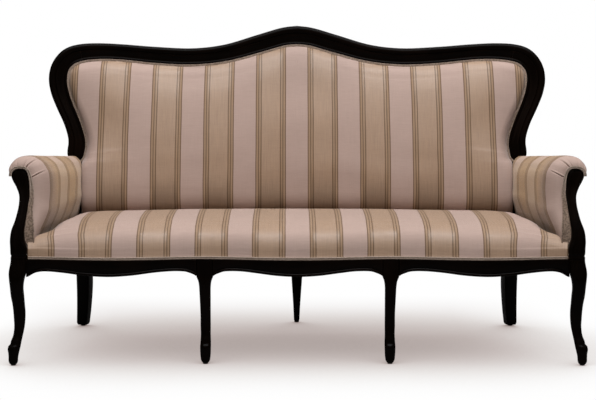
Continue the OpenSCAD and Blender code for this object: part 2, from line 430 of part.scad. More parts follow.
module back_hessian_m() { U=[for(k=[-9:9]) k/9]; V=[for(k=[0:7]) k/7];
  H = function (u, v) let(p=bfield(u*0.98,0.01+0.98*v)) [sign(p[0])*min(abs(p[0]), 726+max(0,p[1]-640)*0.8), p[1]];
  slab([for (v=V) [for (u=U) let(p=H(u,v)) [p[0],by(p[0],p[1])-1.2,p[1]]]],
       [for (v=V) [for (u=U) let(p=H(u,v)) [p[0],by(p[0],p[1])-0.1,p[1]]]]); }
WX = [-630,-480,-360,-130,0,130,360,480,630];
module back_webbing_m() for (x=WX) { zt = min(inner_z(abs(x)-25), inner_z(abs(x)), inner_z(abs(x)+25)) - 2;
  loft([for (z=[375,zt]) [for (p=[[-25,0.3],[25,0.3],[25,1.8],[-25,1.8]]) [x+p[0], by(x+p[0],z)+p[1], z]]]); }
// height of the crest's inner edge above x
function inner_z(x, t=0) = let(p = inner(t)) (p[0] >= x || t > TC) ? p[1] : inner_z(x, t+0.003);
// rear panel; near the bottom it lies against the rear rail
OV = [0,0.035,0.065,0.11,0.17,0.25,0.4,0.55,0.7,0.82,0.92,1];
function ob(x, z, o) = by(x, max(z,320)) + o - 9.2*min(1, max(0, (359-z)/25));
OS = [[720,292],[724,340],[729,400],[733,500],[742,590],[748,650],[751,706],[766,760],[790,812],[806,858],[812,895],[808,925],[791,948]];
module outside_back_m() { U=[-1,-0.96,-0.85,-0.7,-0.55,-0.4,-0.26,-0.13,0,0.13,0.26,0.4,0.55,0.7,0.85,0.96,1];
  V=OV;
  G = function (u,v,o) let(a=abs(u), T=inner(TC*a,-7), S=sp(OS,v), P=(1-v)*[720*a,292]+v*T+(1-a)*[0,mix(292,inner(0,-7)[1],v)]+a*S
      -((1-a)*(1-v)*[0,292]+a*(1-v)*[720,292]+(1-a)*v*inner(0,-7)+a*v*inner(TC,-7)))
      [sign(u)*P[0], ob(P[0],P[1],o), P[1]];
  slab([for (v=V) [for (u=U) G(u,v,20.6)]], [for (v=V) [for (u=U) G(u,v,18)]], true); }

// ---------- arms ----------
// full section across the arm: fraction of the width, height rule
function aprof(y, k, i=0) = let(a = xin(y)+i, b = xout(y)-i, w = b-a, zt = ztop(y)-i,
  P = [[a,344],[a-1,400],[a-2,450],[a-2,490],[a-1,520],[a,zt-66],[a+0.08*w,zt-36],[a+0.21*w,zt-16],[a+0.46*w,zt],[b-26,zt-3],
       [b-8,zt-18],[b,zt-42],[b-9,zt-67]]) P[k];
// where the cloth meets the stump: x y z
AS = [[861.5,-316,344],[861.5,-318,400],[865,-312,450],[858.5,-296,500],[853,-284,545],[857,-278,585],[862,-275,606],[870,-274,621],
  [889,-273,626],[907,-273,624.5],[922,-274,614],[926,-275,601],[924,-274,588]];
AY = [120.4,0.19];                         // rear end of the arm follows the post
function apt(k, v, i=0) = let(zz = aprof(0,k)[1], ye = AY[0]+AY[1]*(zz-350), ys = AS[k][1]+6, y = mix(ys, ye-i, v),
    q = v < 0.14 ? rise(v, 0.14) : 1, p = aprof(y, k, i), s = AS[k])
  [mix(s[0]+(i>0 ? (k<7?i:k>8?-i:0) : 0), p[0], q), y, mix(s[2]-(k>5&&k<11?i*0:0), p[1], q)];
AV = [0,0.005,0.015,0.035,0.06,0.09,0.14,0.25,0.4,0.6,0.8,1];
module arm_cover_r() slab([for (v=AV) [for (k=[0:12]) apt(k,v)]],
  [for (v=AV) [for (k=[0:12]) apt(k, v==0 ? 0.02 : v, cloth)]], false);
function z_arm(y) = 580 - 0.0899*(y+237.5);        // middle height of the arm rail
function ar_in(y) = 876 - 0.2871*(y+237.5);        // inner face of the arm rail
function tr_in(y) = 884 - 0.2783*(y+311);          // inner face of the tack rail
module arm_foam_r() {
  // roll above the arm rail
  loft([for (q=[[-234,10],[-220,4],[-205,0],[-70,0],[60,0],[166,0]]) let(y = q[0], a = xin(y)+cloth+1.5+q[1], b = xout(y)-cloth-1.5, w = b-a, zt = ztop(y)-cloth-1.5-q[1]*0.6, zr = ztop(y)-61)
    [for (p=[[a+2,zr],[b-9,zr],[b-2,zt-38],[b-9.5,zt-18],[b-27,zt-3],[a+0.46*w,zt],[a+0.21*w,zt-16.5],[a+0.08*w,zt-36]]) [p[0],y,p[1]]]], true);
  // pad on the inner face
  loft([for (v=[0,0.3,0.65,1]) let(y = mix(-210,96,v), a = xin(y)+cloth+1.5)
    [for (p=[[0,0],[1,0],[1,1],[0,1]]) let(b = mix(tr_in(y), ar_in(y), p[1] == 0 ? 0.3 : 1) - 2.6)
    [p[0]==0 ? a : max(b,a+1), y, p[1] == 0 ? 436 : z_arm(y)+13.4]]], true);
}
module arm_web_r() for (y=[-180,-60,60]) loft([for (q=[[0,364],[0,387],[1,z_arm(y)-14.5],[1,z_arm(y)+10]])
  [for (p=[[-1.6,-22],[-0.4,-22],[-0.4,22],[-1.6,22]]) [(q[0]==0 ? tr_in(y+p[1]) : ar_in(y+p[1])) + p[0], y+p[1], q[1]]]], false);
// tight cloth on the outer side, from the side rail up under the roll
module outside_arm_r() { V=[0,0.25,0.5,0.75,1]; Z=[0,0.3,0.6,0.85,1];
  A = [for (q=Z) [for (v=V) let(z = mix(rail_top+1, ztop(mix(-300,150,v))-70.5, q), ys = st(z)[1]+21, ye = 122+0.19*(z-350), y = mix(ys,ye,v),
      xa = 908-0.3*(y+316), xb = 911.4-0.2871*(y+237.5), x = mix(xa,xb,min(1,(z-340)/180))) [x,y,z]]];
  slab(A, [for (r=A) [for (p=r) [p[0]-2.4,p[1],p[2]]]]); }

// ---------- gimp and welts ----------
module gimp_seat_m() tube([for (k=[-30:30]) let(u=k/30, x=u*856) [x, yf(x)+4, rail_top+3.2]], 2.6, 2.6);
module gimp_arm_r() tube([for (k=[4:24]) let(p=sp(AS,k/24), q=st(min(p[2],600)))
  [k<14 ? min(p[0]-1.6, q[2]-3) : k>21 ? p[0]+3 : p[0], p[1]-3.4, p[2]+(k>=14&&k<=21?3.4:0)]], 2.4, 2.4);
module gimp_back_m() { P = concat([for (k=[0:11]) let(p=inner(mix(17.2/18,TC,k/11),3)) [p[0], by(p[0],p[1])-12, p[1]]],
    [for (k=[1:22]) let(t=TC*(1-k/22), p=inner(t,3)) [p[0], by(p[0],p[1])-12, p[1]]]);
  tube(concat(P, [for (k=[len(P)-2:-1:0]) [-P[k][0],P[k][1],P[k][2]]]), 2.6, 2.6); }
module gimp_back_out_m() { P = concat([for (v=OV) let(p=sp(OS,v)) [p[0]-3, ob(p[0],p[1],24), p[1]]],
    [for (k=[1:16]) let(t=TC*(1-k/16), p=inner(t,-4)) [p[0], ob(p[0],p[1],23.9), p[1]]]);
  tube(concat(P, [for (k=[len(P)-2:-1:0]) [-P[k][0],P[k][1],P[k][2]]]), 2.4, 2.4); }

// ---------- the nodes ----------
wood = [0.13,0.09,0.07]; pine = [0.78,0.66,0.48]; fabric = [0.72,0.62,0.55]; foam = [0.93,0.88,0.7];
jute = [0.66,0.55,0.4]; steel = [0.6,0.62,0.65]; plastic = [0.1,0.1,0.1]; beech = [0.82,0.68,0.5];
crest_rail();
color(wood) side(-1) back_post_r();  // back_post_left
color(wood) side(1) back_post_r();  // back_post_right
color(wood) rear_leg_c();  // rear_leg_center
color(wood) side(-1) front_leg_r();  // front_leg_left
color(wood) side(1) front_leg_r();  // front_leg_right
color(wood) side(-1) front_leg_mid_r();  // front_leg_inner_left
color(wood) side(1) front_leg_mid_r();  // front_leg_inner_right
color(wood) side(-1) arm_stump_r();  // arm_stump_left
color(wood) side(1) arm_stump_r();  // arm_stump_right
color(wood) side(-1) front_rail_r();  // front_rail_left
color(wood) front_rail_c();  // front_rail_center
color(wood) side(1) front_rail_r();  // front_rail_right
color(wood) side(-1) side_rail_r();  // side_rail_left
color(wood) side(1) side_rail_r();  // side_rail_right
color(pine) rear_rail_m();  // rear_rail
color(pine) side(-1) cross_rail_r();  // cross_rail_left
color(pine) side(1) cross_rail_r();  // cross_rail_right
color(pine) corner_blocks_all();  // corner_blocks
color(steel) block_screws_all();  // corner_block_screws
color(pine) side(-1) arm_rail_r();  // arm_rail_left
color(pine) side(1) arm_rail_r();  // arm_rail_right
color(pine) side(-1) arm_tack_r();  // arm_tack_rail_left
color(pine) side(1) arm_tack_r();  // arm_tack_rail_right
color(pine) back_tack_m();  // back_tack_rail
color(pine) uprights();  // back_uprights
color(beech) dowels_all();  // frame_dowels
color(plastic) glides_all();  // glides
color(steel) nails_all();  // glide_nails
color(steel) springs_all();  // seat_springs
color(steel) clips_all();  // spring_clips
color(steel) ties_all();  // spring_tie_wires
color(jute) hessian_m();  // seat_hessian
color(foam) seat_foam_m();  // seat_foam
color(fabric) seat_cover_m();  // seat_cover
color(jute) back_webbing_m();  // back_webbing
color(jute) back_hessian_m();  // back_hessian
color(foam) back_foam_m();  // back_foam
color(fabric) back_cover_m();  // back_cover
color(jute) side(-1) arm_web_r();  // arm_webbing_left
color(jute) side(1) arm_web_r();  // arm_webbing_right
color(foam) side(-1) arm_foam_r();  // arm_foam_left
color(foam) side(1) arm_foam_r();  // arm_foam_right
color(fabric) side(-1) arm_cover_r();  // arm_cover_left
color(fabric) side(1) arm_cover_r();  // arm_cover_right
color(fabric) side(-1) outside_arm_r();  // outside_arm_panel_left
color(fabric) side(1) outside_arm_r();  // outside_arm_panel_right
color(fabric) outside_back_m();  // outside_back_panel
color(fabric) gimp_seat_m();  // gimp_seat_front
color(fabric) side(-1) gimp_arm_r();  // gimp_arm_left
color(fabric) side(1) gimp_arm_r();  // gimp_arm_right
color(fabric) gimp_back_m();  // gimp_back_inside
color(fabric) gimp_back_out_m();  // gimp_back_outside
color(plastic) dust_m();  // dust_cover
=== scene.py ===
"""Three-seater settee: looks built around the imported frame.

Everything is worked out in millimetres in the frame's own axes and written to the meshes in metres.
"""
import bpy
import math
import numpy as np
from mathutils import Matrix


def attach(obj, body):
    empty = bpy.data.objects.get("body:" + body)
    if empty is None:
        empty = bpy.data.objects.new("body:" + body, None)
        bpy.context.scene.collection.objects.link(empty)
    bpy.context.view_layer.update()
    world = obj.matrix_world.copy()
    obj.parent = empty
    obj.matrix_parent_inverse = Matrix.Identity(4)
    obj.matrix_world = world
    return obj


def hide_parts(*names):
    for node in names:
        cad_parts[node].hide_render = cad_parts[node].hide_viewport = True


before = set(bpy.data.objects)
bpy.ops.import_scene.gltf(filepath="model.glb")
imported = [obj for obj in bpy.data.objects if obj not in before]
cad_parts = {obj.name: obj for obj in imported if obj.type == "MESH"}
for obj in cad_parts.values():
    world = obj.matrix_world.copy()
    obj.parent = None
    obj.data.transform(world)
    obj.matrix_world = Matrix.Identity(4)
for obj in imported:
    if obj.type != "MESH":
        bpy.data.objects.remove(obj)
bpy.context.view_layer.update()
scene = bpy.context.scene


# ---------------------------------------------------------------- small maths
def cr(a, b, c, d, t):
    return 0.5 * (2 * b + (c - a) * t + (2 * a - 5 * b + 4 * c - d) * t * t + (3 * b - a - 3 * c + d) * t * t * t)


def sp(P, t):
    """Smooth curve through the points P, t from 0 to 1."""
    P = np.asarray(P, float)
    n = len(P) - 1
    s = min(max(t, 0.0) * n, n - 1e-6)
    i = int(s)
    return cr(P[max(i - 1, 0)], P[i], P[i + 1], P[min(i + 2, n)], s - i)


def tab(T, k):
    """Smooth table: rows [key, values...]."""
    T = np.asarray(T, float)
    n = len(T) - 1
    i = int(np.clip(np.searchsorted(T[:, 0], k, side="right") - 1, 0, n - 1))
    f = min(1.0, max(0.0, (k - T[i, 0]) / (T[i + 1, 0] - T[i, 0])))
    return cr(T[max(i - 1, 0)], T[i], T[i + 1], T[min(i + 2, n)], f)


def mix(a, b, t):
    return a + (b - a) * t


def unit(v):
    v = np.asarray(v, float)
    return v / np.linalg.norm(v)


def sstep(a, b, x):
    t = np.clip((np.asarray(x, float) - a) / (b - a), 0, 1)
    return t * t * (3 - 2 * t)


# ---------------------------------------------------------------- reference surfaces, as in the frame
RAIL_TOP, RAIL_DEEP = 340.0, 50.0
RB = RAIL_TOP - RAIL_DEEP
GLIDE_H = 5.0


def by(x, z):
    return 230 + 0.19 * (z - 420) - 0.000117 * x * x


FR = [[-1, -345], [0, -370], [100, -366], [200, -352], [298, -343], [400, -352], [500, -366], [590, -372], [680, -367],
      [780, -353], [868, -345], [1000, -342]]


def yf(x):
    return tab(FR, abs(x))[1]


def xin(y):
    return 802 - 0.16 * (y + 220)


def xout(y):
    return 925 - 0.275 * (y + 220)


def ztop(y):
    return 663 - 0.094 * (y + 235)


MF = [[0, 1044.5, 32.5], [52, 1038.5, 31.5], [137, 1014, 31], [254, 982, 29], [371, 969.5, 28.3], [500, 975, 28],
      [620, 986, 26.5], [700, 989, 27.5], [762, 984, 29.5], [802.5, 969, 31], [830, 937, 30.5], [839, 897, 30.8],
      [833.5, 852.5, 29.5], [816.5, 803.5, 27.5], [792, 747, 26.5], [776.5, 700, 27.3], [772, 668, 29], [775, 640, 29],
      [777, 600, 26]]
JT = 8 / 18


def mft(t):
    return sp(MF, t)


def mnor(t):
    a, b = mft(t - 0.004 if t > 0.004 else t), mft(t + 0.004)
    v = unit([b[0] - a[0], b[1] - a[1]])
    if t <= 0.0:
        v = np.array([1.0, 0.0])
    return np.array([-v[1], v[0]])


def inner(t, d=0.0):
    m, n = mft(t), mnor(t)
    return np.array([m[0] - (m[2] + d) * n[0], m[1] - (m[2] + d) * n[1]])


# ---------------------------------------------------------------- mesh helpers
MM = 0.001
PIECES = {}


def make_mesh(name, verts, faces, attrs=None, smooth=True, sharp=None):
    me = bpy.data.meshes.new(name)
    me.from_pydata((np.asarray(verts) * MM).tolist(), [], faces)
    me.update()
    for key, val in (attrs or {}).items():
        a = me.attributes.new(key, "FLOAT", "POINT")
        a.data.foreach_set("value", np.asarray(val, np.float32))
    me.polygons.foreach_set("use_smooth", [smooth] * len(me.polygons))
    if sharp is not None:
        me.set_sharp_from_angle(angle=math.radians(sharp))
    ob = bpy.data.objects.new(name, me)
    scene.collection.objects.link(ob)
    PIECES[name] = ob
    return ob


def quads_grid(m, n, off=0, flip=False, wrap=False):
    f = []
    for i in range(m - 1):
        for j in range(n if wrap else n - 1):
            a = off + i * n + j
            b = off + i * n + (j + 1) % n
            c = off + (i + 1) * n + (j + 1) % n
            d = off + (i + 1) * n + j
            f.append([a, d, c, b] if flip else [a, b, c, d])
    return f


def signed_volume(v, faces):
    v = np.asarray(v)
    s = 0.0
    for f in faces:
        for k in range(1, len(f) - 1):
            s += np.dot(v[f[0]], np.cross(v[f[k]], v[f[k + 1]]))
    return s


def face_out(v, faces):
    return faces if signed_volume(v, faces) > 0 else [f[::-1] for f in faces]


def loft_obj(name, rings, attrs=None, sharp=38, caps=True, mirror=False):
    R = np.asarray(rings, float)
    m, n = R.shape[:2]
    V = R.reshape(-1, 3).copy()
    if mirror:
        V[:, 0] *= -1
    F = quads_grid(m, n, wrap=True)
    if caps:
        F.append(list(range(n - 1, -1, -1)))
        F.append([(m - 1) * n + j for j in range(n)])
    return V, face_out(V, F), attrs


def shell_obj(A, B):
    """Closed body between grid A (seen side) and grid B."""
    A, B = np.asarray(A, float), np.asarray(B, float)
    m, n = A.shape[:2]
    o = m * n
    V = np.concatenate([A.reshape(-1, 3), B.reshape(-1, 3)])
    F = quads_grid(m, n) + quads_grid(m, n, off=o, flip=True)
    for j in range(n - 1):
        F.append([j + 1, j, o + j, o + j + 1])
        e = (m - 1) * n
        F.append([e + j, e + j + 1, o + e + j + 1, o + e + j])
    for i in range(m - 1):
        a, d = i * n, (i + 1) * n
        F.append([a, d, o + d, o + a])
        b, c = a + n - 1, d + n - 1
        F.append([c, b, o + b, o + c])
    return V, face_out(V, F)


def join_parts(name, parts, attrs=None, sharp=38, mirror=False, smooth=True):
    """One object from several (V, F) bodies."""
    VV, FF, off = [], [], 0
    for V, F in parts:
        V = np.array(V, float)
        if mirror:
            V[:, 0] *= -1
            F = [f[::-1] for f in F]
        VV.append(V)
        FF += [[i + off for i in f] for f in F]
        off += len(V)
    return make_mesh(name, np.concatenate(VV), FF, attrs, smooth, sharp)


def tube(P, r, k=10, closed=False, rz=None):
    P = np.asarray(P, float)
    m = len(P)
    rz = r if rz is None else rz
    rings = []
    for i in range(m):
        if closed:
            t = unit(P[(i + 1) % m] - P[i - 1])
        else:
            t = unit(P[min(i + 1, m - 1)] - P[max(i - 1, 0)])
        up = np.array([0, 1.0, 0]) if abs(t[2]) > 0.8 or abs(t[0]) > 0.5 else np.array([0, 0, 1.0])
        if abs(np.dot(up, t)) > 0.95:
            up = np.array([0, 0, 1.0])
        u = unit(np.cross(up, t))
        w = np.cross(t, u)
        rings.append([P[i] + u * r * math.cos(2 * math.pi * j / k) + w * rz * math.sin(2 * math.pi * j / k) for j in range(k)])
    R = np.array(rings)
    V = R.reshape(-1, 3)
    if closed:
        F = quads_grid(m, k, wrap=True)
        for j in range(k):
            F.append([(m - 1) * k + j, (m - 1) * k + (j + 1) % k, (j + 1) % k, j])
    else:
        F = quads_grid(m, k, wrap=True)
        F.append(list(range(k - 1, -1, -1)))
        F.append([(m - 1) * k + j for j in range(k)])
    return V, face_out(V, F)


def resample(P, step):
    """Points a given step apart along the line through P."""
    P = np.asarray(P, float)
    d = np.r_[0, np.cumsum(np.linalg.norm(np.diff(P, axis=0), axis=1))]
    n = max(2, int(round(d[-1] / step)))
    s = np.linspace(0, d[-1], n + 1)
    return np.stack([np.interp(s, d, P[:, k]) for k in range(3)], 1)


def smooth_noise(shape, seed, sigma):
    """Repeatable smooth random field over a grid, about -1..1."""
    rng = np.random.default_rng(seed)
    a = rng.standard_normal(shape)
    for ax, s in enumerate(sigma):
        r = int(max(1, 3 * s))
        kx = np.arange(-r, r + 1)
        kern = np.exp(-0.5 * (kx / max(s, 0.3)) ** 2)
        kern /= kern.sum()
        pad = [(0, 0)] * a.ndim
        pad[ax] = (r, r)
        b = np.pad(a, pad, mode="reflect")
        a = np.apply_along_axis(lambda v: np.convolve(v, kern, mode="valid"), ax, b)
    return a / (np.abs(a).max() + 1e-9)


# ---------------------------------------------------------------- materials
def new_mat(name):
    m = bpy.data.materials.new(name)
    m.use_nodes = True
    nt = m.node_tree
    for n in list(nt.nodes):
        nt.nodes.remove(n)
    out = nt.nodes.new("ShaderNodeOutputMaterial")
    bsdf = nt.nodes.new("ShaderNodeBsdfPrincipled")
    nt.links.new(bsdf.outputs[0], out.inputs[0])
    return m, nt, bsdf


class NB:
    """Short hands for building node trees."""

    def __init__(self, nt):
        self.nt = nt

    def n(self, kind, **kw):
        node = self.nt.nodes.new(kind)
        for k, v in kw.items():
            setattr(node, k, v)
        return node

    def link(self, a, b):
        self.nt.links.new(a, b)

    def math(self, op, a, b=None, c=None, clamp=False):
        node = self.n("ShaderNodeMath", operation=op)
        node.use_clamp = clamp
        for i, v in enumerate((a, b, c)):
            if v is None:
                continue
            if isinstance(v, (int, float)):
                node.inputs[i].default_value = v
            else:
                self.link(v, node.inputs[i])
        return node.outputs[0]

    def mixc(self, fac, a, b, blend="MIX"):
        node = self.n("ShaderNodeMix", data_type="RGBA", blend_type=blend)
        node.clamp_factor = True
        for idx, v in ((0, fac), (6, a), (7, b)):
            if isinstance(v, (int, float)):
                node.inputs[idx].default_value = v
            elif isinstance(v, (tuple, list)):
                node.inputs[idx].default_value = (*v, 1.0)
            else:
                self.link(v, node.inputs[idx])
        return node.outputs[2]

    def noise(self, vec, scale, detail=2.0, rough=0.5, dims="3D"):
        node = self.n("ShaderNodeTexNoise", noise_dimensions=dims)
        node.inputs["Scale"].default_value = scale
        node.inputs["Detail"].default_value = detail
        node.inputs["Roughness"].default_value = rough
        if vec is not None:
            self.link(vec, node.inputs["Vector"])
        return node.outputs[0]

    def attr(self, name):
        node = self.n("ShaderNodeAttribute", attribute_name=name)
        return node.outputs["Fac"]

    def comb(self, x, y, z):
        node = self.n("ShaderNodeCombineXYZ")
        for i, v in enumerate((x, y, z)):
            if isinstance(v, (int, float)):
                node.inputs[i].default_value = v
            else:
                self.link(v, node.inputs[i])
        return node.outputs[0]

    def ramp(self, fac, stops, interp="LINEAR"):
        node = self.n("ShaderNodeValToRGB")
        el = node.color_ramp.elements
        node.color_ramp.interpolation = interp
        while len(el) > 1:
            el.remove(el[-1])
        el[0].position = stops[0][0]
        el[0].color = (*stops[0][1], 1.0)
        for p, c in stops[1:]:
            e = el.new(p)
            e.color = (*c, 1.0)
        self.link(fac, node.inputs[0])
        return node.outputs[0]

    def bump(self, height, strength, dist, normal=None):
        node = self.n("ShaderNodeBump")
        node.inputs["Strength"].default_value = strength
        node.inputs["Distance"].default_value = dist
        self.link(height, node.inputs["Height"])
        if normal is not None:
            self.link(normal, node.inputs["Normal"])
        return node.outputs[0]


def lin(r, g, b):
    """sRGB 0..255 to linear."""
    return tuple((c / 255 / 12.92) if c / 255 <= 0.04045 else ((c / 255 + 0.055) / 1.055) ** 2.4 for c in (r, g, b))


PINK = (0.382, 0.266, 0.217)
BEIGE = (0.322, 0.208, 0.133)
LINE = (0.122, 0.064, 0.026)
LIGHTLINE = (0.285, 0.178, 0.104)


def stripe_cloth(name, plain=False, tone=1.0, painted_bounce_low_sheen=False):
    """Woven satin stripe. Attribute su runs across the stripes and sv along them, in millimetres."""
    m, nt, bsdf = new_mat(name)
    b = NB(nt)
    su, sv = b.attr("su"), b.attr("sv")
    half = 184.3 / 2
    # slow drift of the warp, so that no line is ruler straight
    drift = b.noise(b.comb(b.math("MULTIPLY", su, 0.004), b.math("MULTIPLY", sv, 0.006), 0.0), 1.0, 1.0)
    sx = b.math("ADD", su, b.math("MULTIPLY", b.math("SUBTRACT", drift, 0.5), 3.0))
    # folded distance from the middle of the beige stripe
    q = b.math("FRACT", b.math("ADD", b.math("DIVIDE", b.math("SUBTRACT", sx, 91.5), 184.3), 100.5))
    d = b.math("MULTIPLY", b.math("ABSOLUTE", b.math("SUBTRACT", q, 0.5)), 184.3)
    f = b.math("DIVIDE", d, 100.0)

    def s(mm):
        return mm / 100.0

    c0 = 43.0
    if plain:
        col = b.ramp(f, [(0.0, PINK), (1.0, PINK)])
    else:
        stops = [(0.0, BEIGE), (s(c0 - 11.0), BEIGE), (s(c0 - 10.2), LINE), (s(c0 - 7.6), LINE), (s(c0 - 6.8), LIGHTLINE),
                 (s(c0 - 2.0), LIGHTLINE), (s(c0 - 1.2), LINE), (s(c0 + 1.2), LINE), (s(c0 + 2.0), LIGHTLINE), (s(c0 + 6.8), LIGHTLINE),
                 (s(c0 + 7.6), LINE), (s(c0 + 10.2), LINE), (s(c0 + 11.0), PINK), (s(92.2), PINK)]
        col = b.ramp(f, stops)
        if painted_bounce_low_sheen:
            # painted warm bounce light: lighter, yellower copies of the stripe colours are mixed in where the bounce
            # attribute says so
            painted_bounce_stops = [(t, (c[0] * 1.06, c[1] * 1.05, c[2] * 0.80) if c == PINK else (c[0] * 1.19, c[1] * 1.16, c[2] * 0.87)) for t, c in stops]
            col = b.mixc(b.attr("painted_warm_bounce"), col, b.ramp(f, painted_bounce_stops))
    # warp threads: fine streaks along the stripe, stronger in the beige satin
    streak = b.noise(b.comb(b.math("MULTIPLY", su, 0.55), b.math("MULTIPLY", sv, 0.012), 3.1), 1.0, 3.0, 0.65)
    streak2 = b.noise(b.comb(b.math("MULTIPLY", su, 1.7), b.math("MULTIPLY", sv, 0.02), 7.7), 1.0, 2.0, 0.6)
    weft = b.noise(b.comb(b.math("MULTIPLY", su, 0.02), b.math("MULTIPLY", sv, 0.6), 5.2), 1.0, 3.0, 0.65)
    slub = b.noise(b.comb(b.math("MULTIPLY", su, 0.05), b.math("MULTIPLY", sv, 0.9), 9.4), 1.0, 4.0, 0.7)
    inbeige = b.math("LESS_THAN", d, c0)
    amt = b.math("ADD", b.math("MULTIPLY", inbeige, 0.30), 0.12)
    k1 = b.math("MULTIPLY", b.math("SUBTRACT", b.math("ADD", b.math("MULTIPLY", streak, 0.6), b.math("MULTIPLY", streak2, 0.4)), 0.5), amt)
    k2 = b.math("MULTIPLY", b.math("SUBTRACT", b.math("ADD", b.math("MULTIPLY", weft, 0.6), b.math("MULTIPLY", slub, 0.4)), 0.5), 0.20)
    val = b.math("MULTIPLY", b.math("ADD", 1.0, b.math("MULTIPLY", b.math("ADD", k1, k2), 2.2)), tone)
    big = b.noise(b.comb(b.math("MULTIPLY", su, 0.006), b.math("MULTIPLY", sv, 0.006), 1.7), 1.0, 2.0)
    val = b.math("MULTIPLY", val, b.math("ADD", 0.96, b.math("MULTIPLY", big, 0.08)))
    # painted light and shade: lighter or darker all over, and lighter or darker in the satin stripe only
    val = b.math("MULTIPLY", val, b.math("ADD", 1.0, b.math("ADD", b.attr("painted_light_shade"), b.math("MULTIPLY", inbeige, b.attr("lb")))))
    hsv = b.n("ShaderNodeHueSaturation")
    b.link(col, hsv.inputs["Color"])
    b.link(val, hsv.inputs["Value"])
    b.link(hsv.outputs[0], bsdf.inputs["Base Color"])
    # gloss: the satin bands are a little smoother than the plain ones
    rough = b.math("ADD", b.math("MULTIPLY", inbeige, -0.30), 0.76)
    rough = b.math("ADD", rough, b.math("MULTIPLY", b.math("SUBTRACT", streak2, 0.5), 0.12))
    b.link(rough, bsdf.inputs["Roughness"])
    bsdf.inputs["Sheen Weight"].default_value = 0.16 if painted_bounce_low_sheen else 0.27
    bsdf.inputs["Sheen Roughness"].default_value = 0.45
    bsdf.inputs["Specular IOR Level"].default_value = 0.50
    # weave: fine ribs across and along
    w1 = b.math("SINE", b.math("MULTIPLY", su, 2 * math.pi / 0.9))
    w2 = b.math("SINE", b.math("MULTIPLY", sv, 2 * math.pi / 0.8))
    weave = b.math("ADD", b.math("MULTIPLY", b.math("MULTIPLY", w1, w2), 0.5), b.math("MULTIPLY", streak2, 0.9))
    weave = b.math("ADD", weave, b.math("MULTIPLY", slub, 0.7))
    nrm = b.bump(weave, 0.35, 0.0004)
    b.link(nrm, bsdf.inputs["Normal"])
    return m


def braid_cloth(name):
    m, nt, bsdf = new_mat(name)
    b = NB(nt)
    tc = b.n("ShaderNodeTexCoord")
    a, s = b.attr("ga"), b.attr("gs")      # angle round the cord, length along it in millimetres
    tw = b.math("SINE", b.math("ADD", b.math("MULTIPLY", s, 2 * math.pi / 3.2), b.math("MULTIPLY", a, 2.0)))
    fine = b.noise(tc.outputs["Object"], 900.0, 2.0)
    big = b.noise(tc.outputs["Object"], 9.0, 2.0)
    fleck = b.noise(tc.outputs["Object"], 190.0, 1.0)
    pale = b.mixc(big, (0.430, 0.330, 0.262), (0.370, 0.280, 0.218))
    base = b.mixc(b.attr("dk"), pale, b.mixc(big, (0.345, 0.240, 0.168), (0.285, 0.196, 0.136)))
    base = b.mixc(b.math("MULTIPLY", b.math("ADD", tw, 1.0), 0.22), base, (0.085, 0.050, 0.032))
    base = b.mixc(b.math("MULTIPLY", b.math("MULTIPLY", b.math("SUBTRACT", fleck, 0.44, clamp=True), 6.0, clamp=True), b.math("ADD", 0.35, b.math("MULTIPLY", b.attr("dk"), 0.65))),
                  base, (0.115, 0.070, 0.044))
    base = b.mixc(b.math("MULTIPLY", fine, 0.20), base, (0.46, 0.36, 0.29))
    b.link(base, bsdf.inputs["Base Color"])
    bsdf.inputs["Roughness"].default_value = 0.78
    bsdf.inputs["Sheen Weight"].default_value = 0.15
    bsdf.inputs["Specular IOR Level"].default_value = 0.25
    b.link(b.bump(b.math("ADD", tw, b.math("MULTIPLY", fine, 0.8)), 0.5, 0.0006), bsdf.inputs["Normal"])
    return m


def show_wood(name):
    """Dark stained beech under a satin finish: grain along the member, a little red in the worn high spots."""
    m, nt, bsdf = new_mat(name)
    b = NB(nt)
    tc = b.n("ShaderNodeTexCoord")
    gl, ga = b.attr("gl"), b.attr("gw")     # along and across the member, millimetres
    grain = b.noise(b.comb(b.math("MULTIPLY", gl, 0.010), b.math("MULTIPLY", ga, 0.30), 0.0), 1.0, 4.0, 0.6)
    pores = b.noise(b.comb(b.math("MULTIPLY", gl, 0.045), b.math("MULTIPLY", ga, 1.6), 4.0), 1.0, 3.0, 0.6)
    cloud = b.noise(tc.outputs["Object"], 6.0, 3.0)
    col = b.ramp(grain, [(0.30, (0.0008, 0.0004, 0.0002)), (0.55, (0.0020, 0.0009, 0.0004)), (0.75, (0.0046, 0.0019, 0.0009))])
    col = b.mixc(b.math("MULTIPLY", b.math("SUBTRACT", cloud, 0.45, clamp=True), 1.6, clamp=True), col, (0.0064, 0.0028, 0.0015))
    geo = b.n("ShaderNodeNewGeometry")
    worn = b.math("MULTIPLY", b.math("SUBTRACT", geo.outputs["Pointiness"], 0.53, clamp=True), 7.0, clamp=True)
    worn = b.math("MULTIPLY", worn, b.math("ADD", 0.3, cloud))
    col = b.mixc(b.math("MULTIPLY", worn, 0.5, clamp=True), col, (0.024, 0.012, 0.007))
    b.link(col, bsdf.inputs["Base Color"])
    rough = b.math("ADD", 0.34, b.math("MULTIPLY", b.math("SUBTRACT", pores, 0.5), 0.16))
    rough = b.math("ADD", rough, b.math("MULTIPLY", b.math("SUBTRACT", cloud, 0.5), 0.10))
    b.link(rough, bsdf.inputs["Roughness"])
    bsdf.inputs["Specular IOR Level"].default_value = 0.038
    b.link(b.bump(b.math("ADD", b.math("MULTIPLY", pores, 0.6), grain), 0.22, 0.00035), bsdf.inputs["Normal"])
    return m


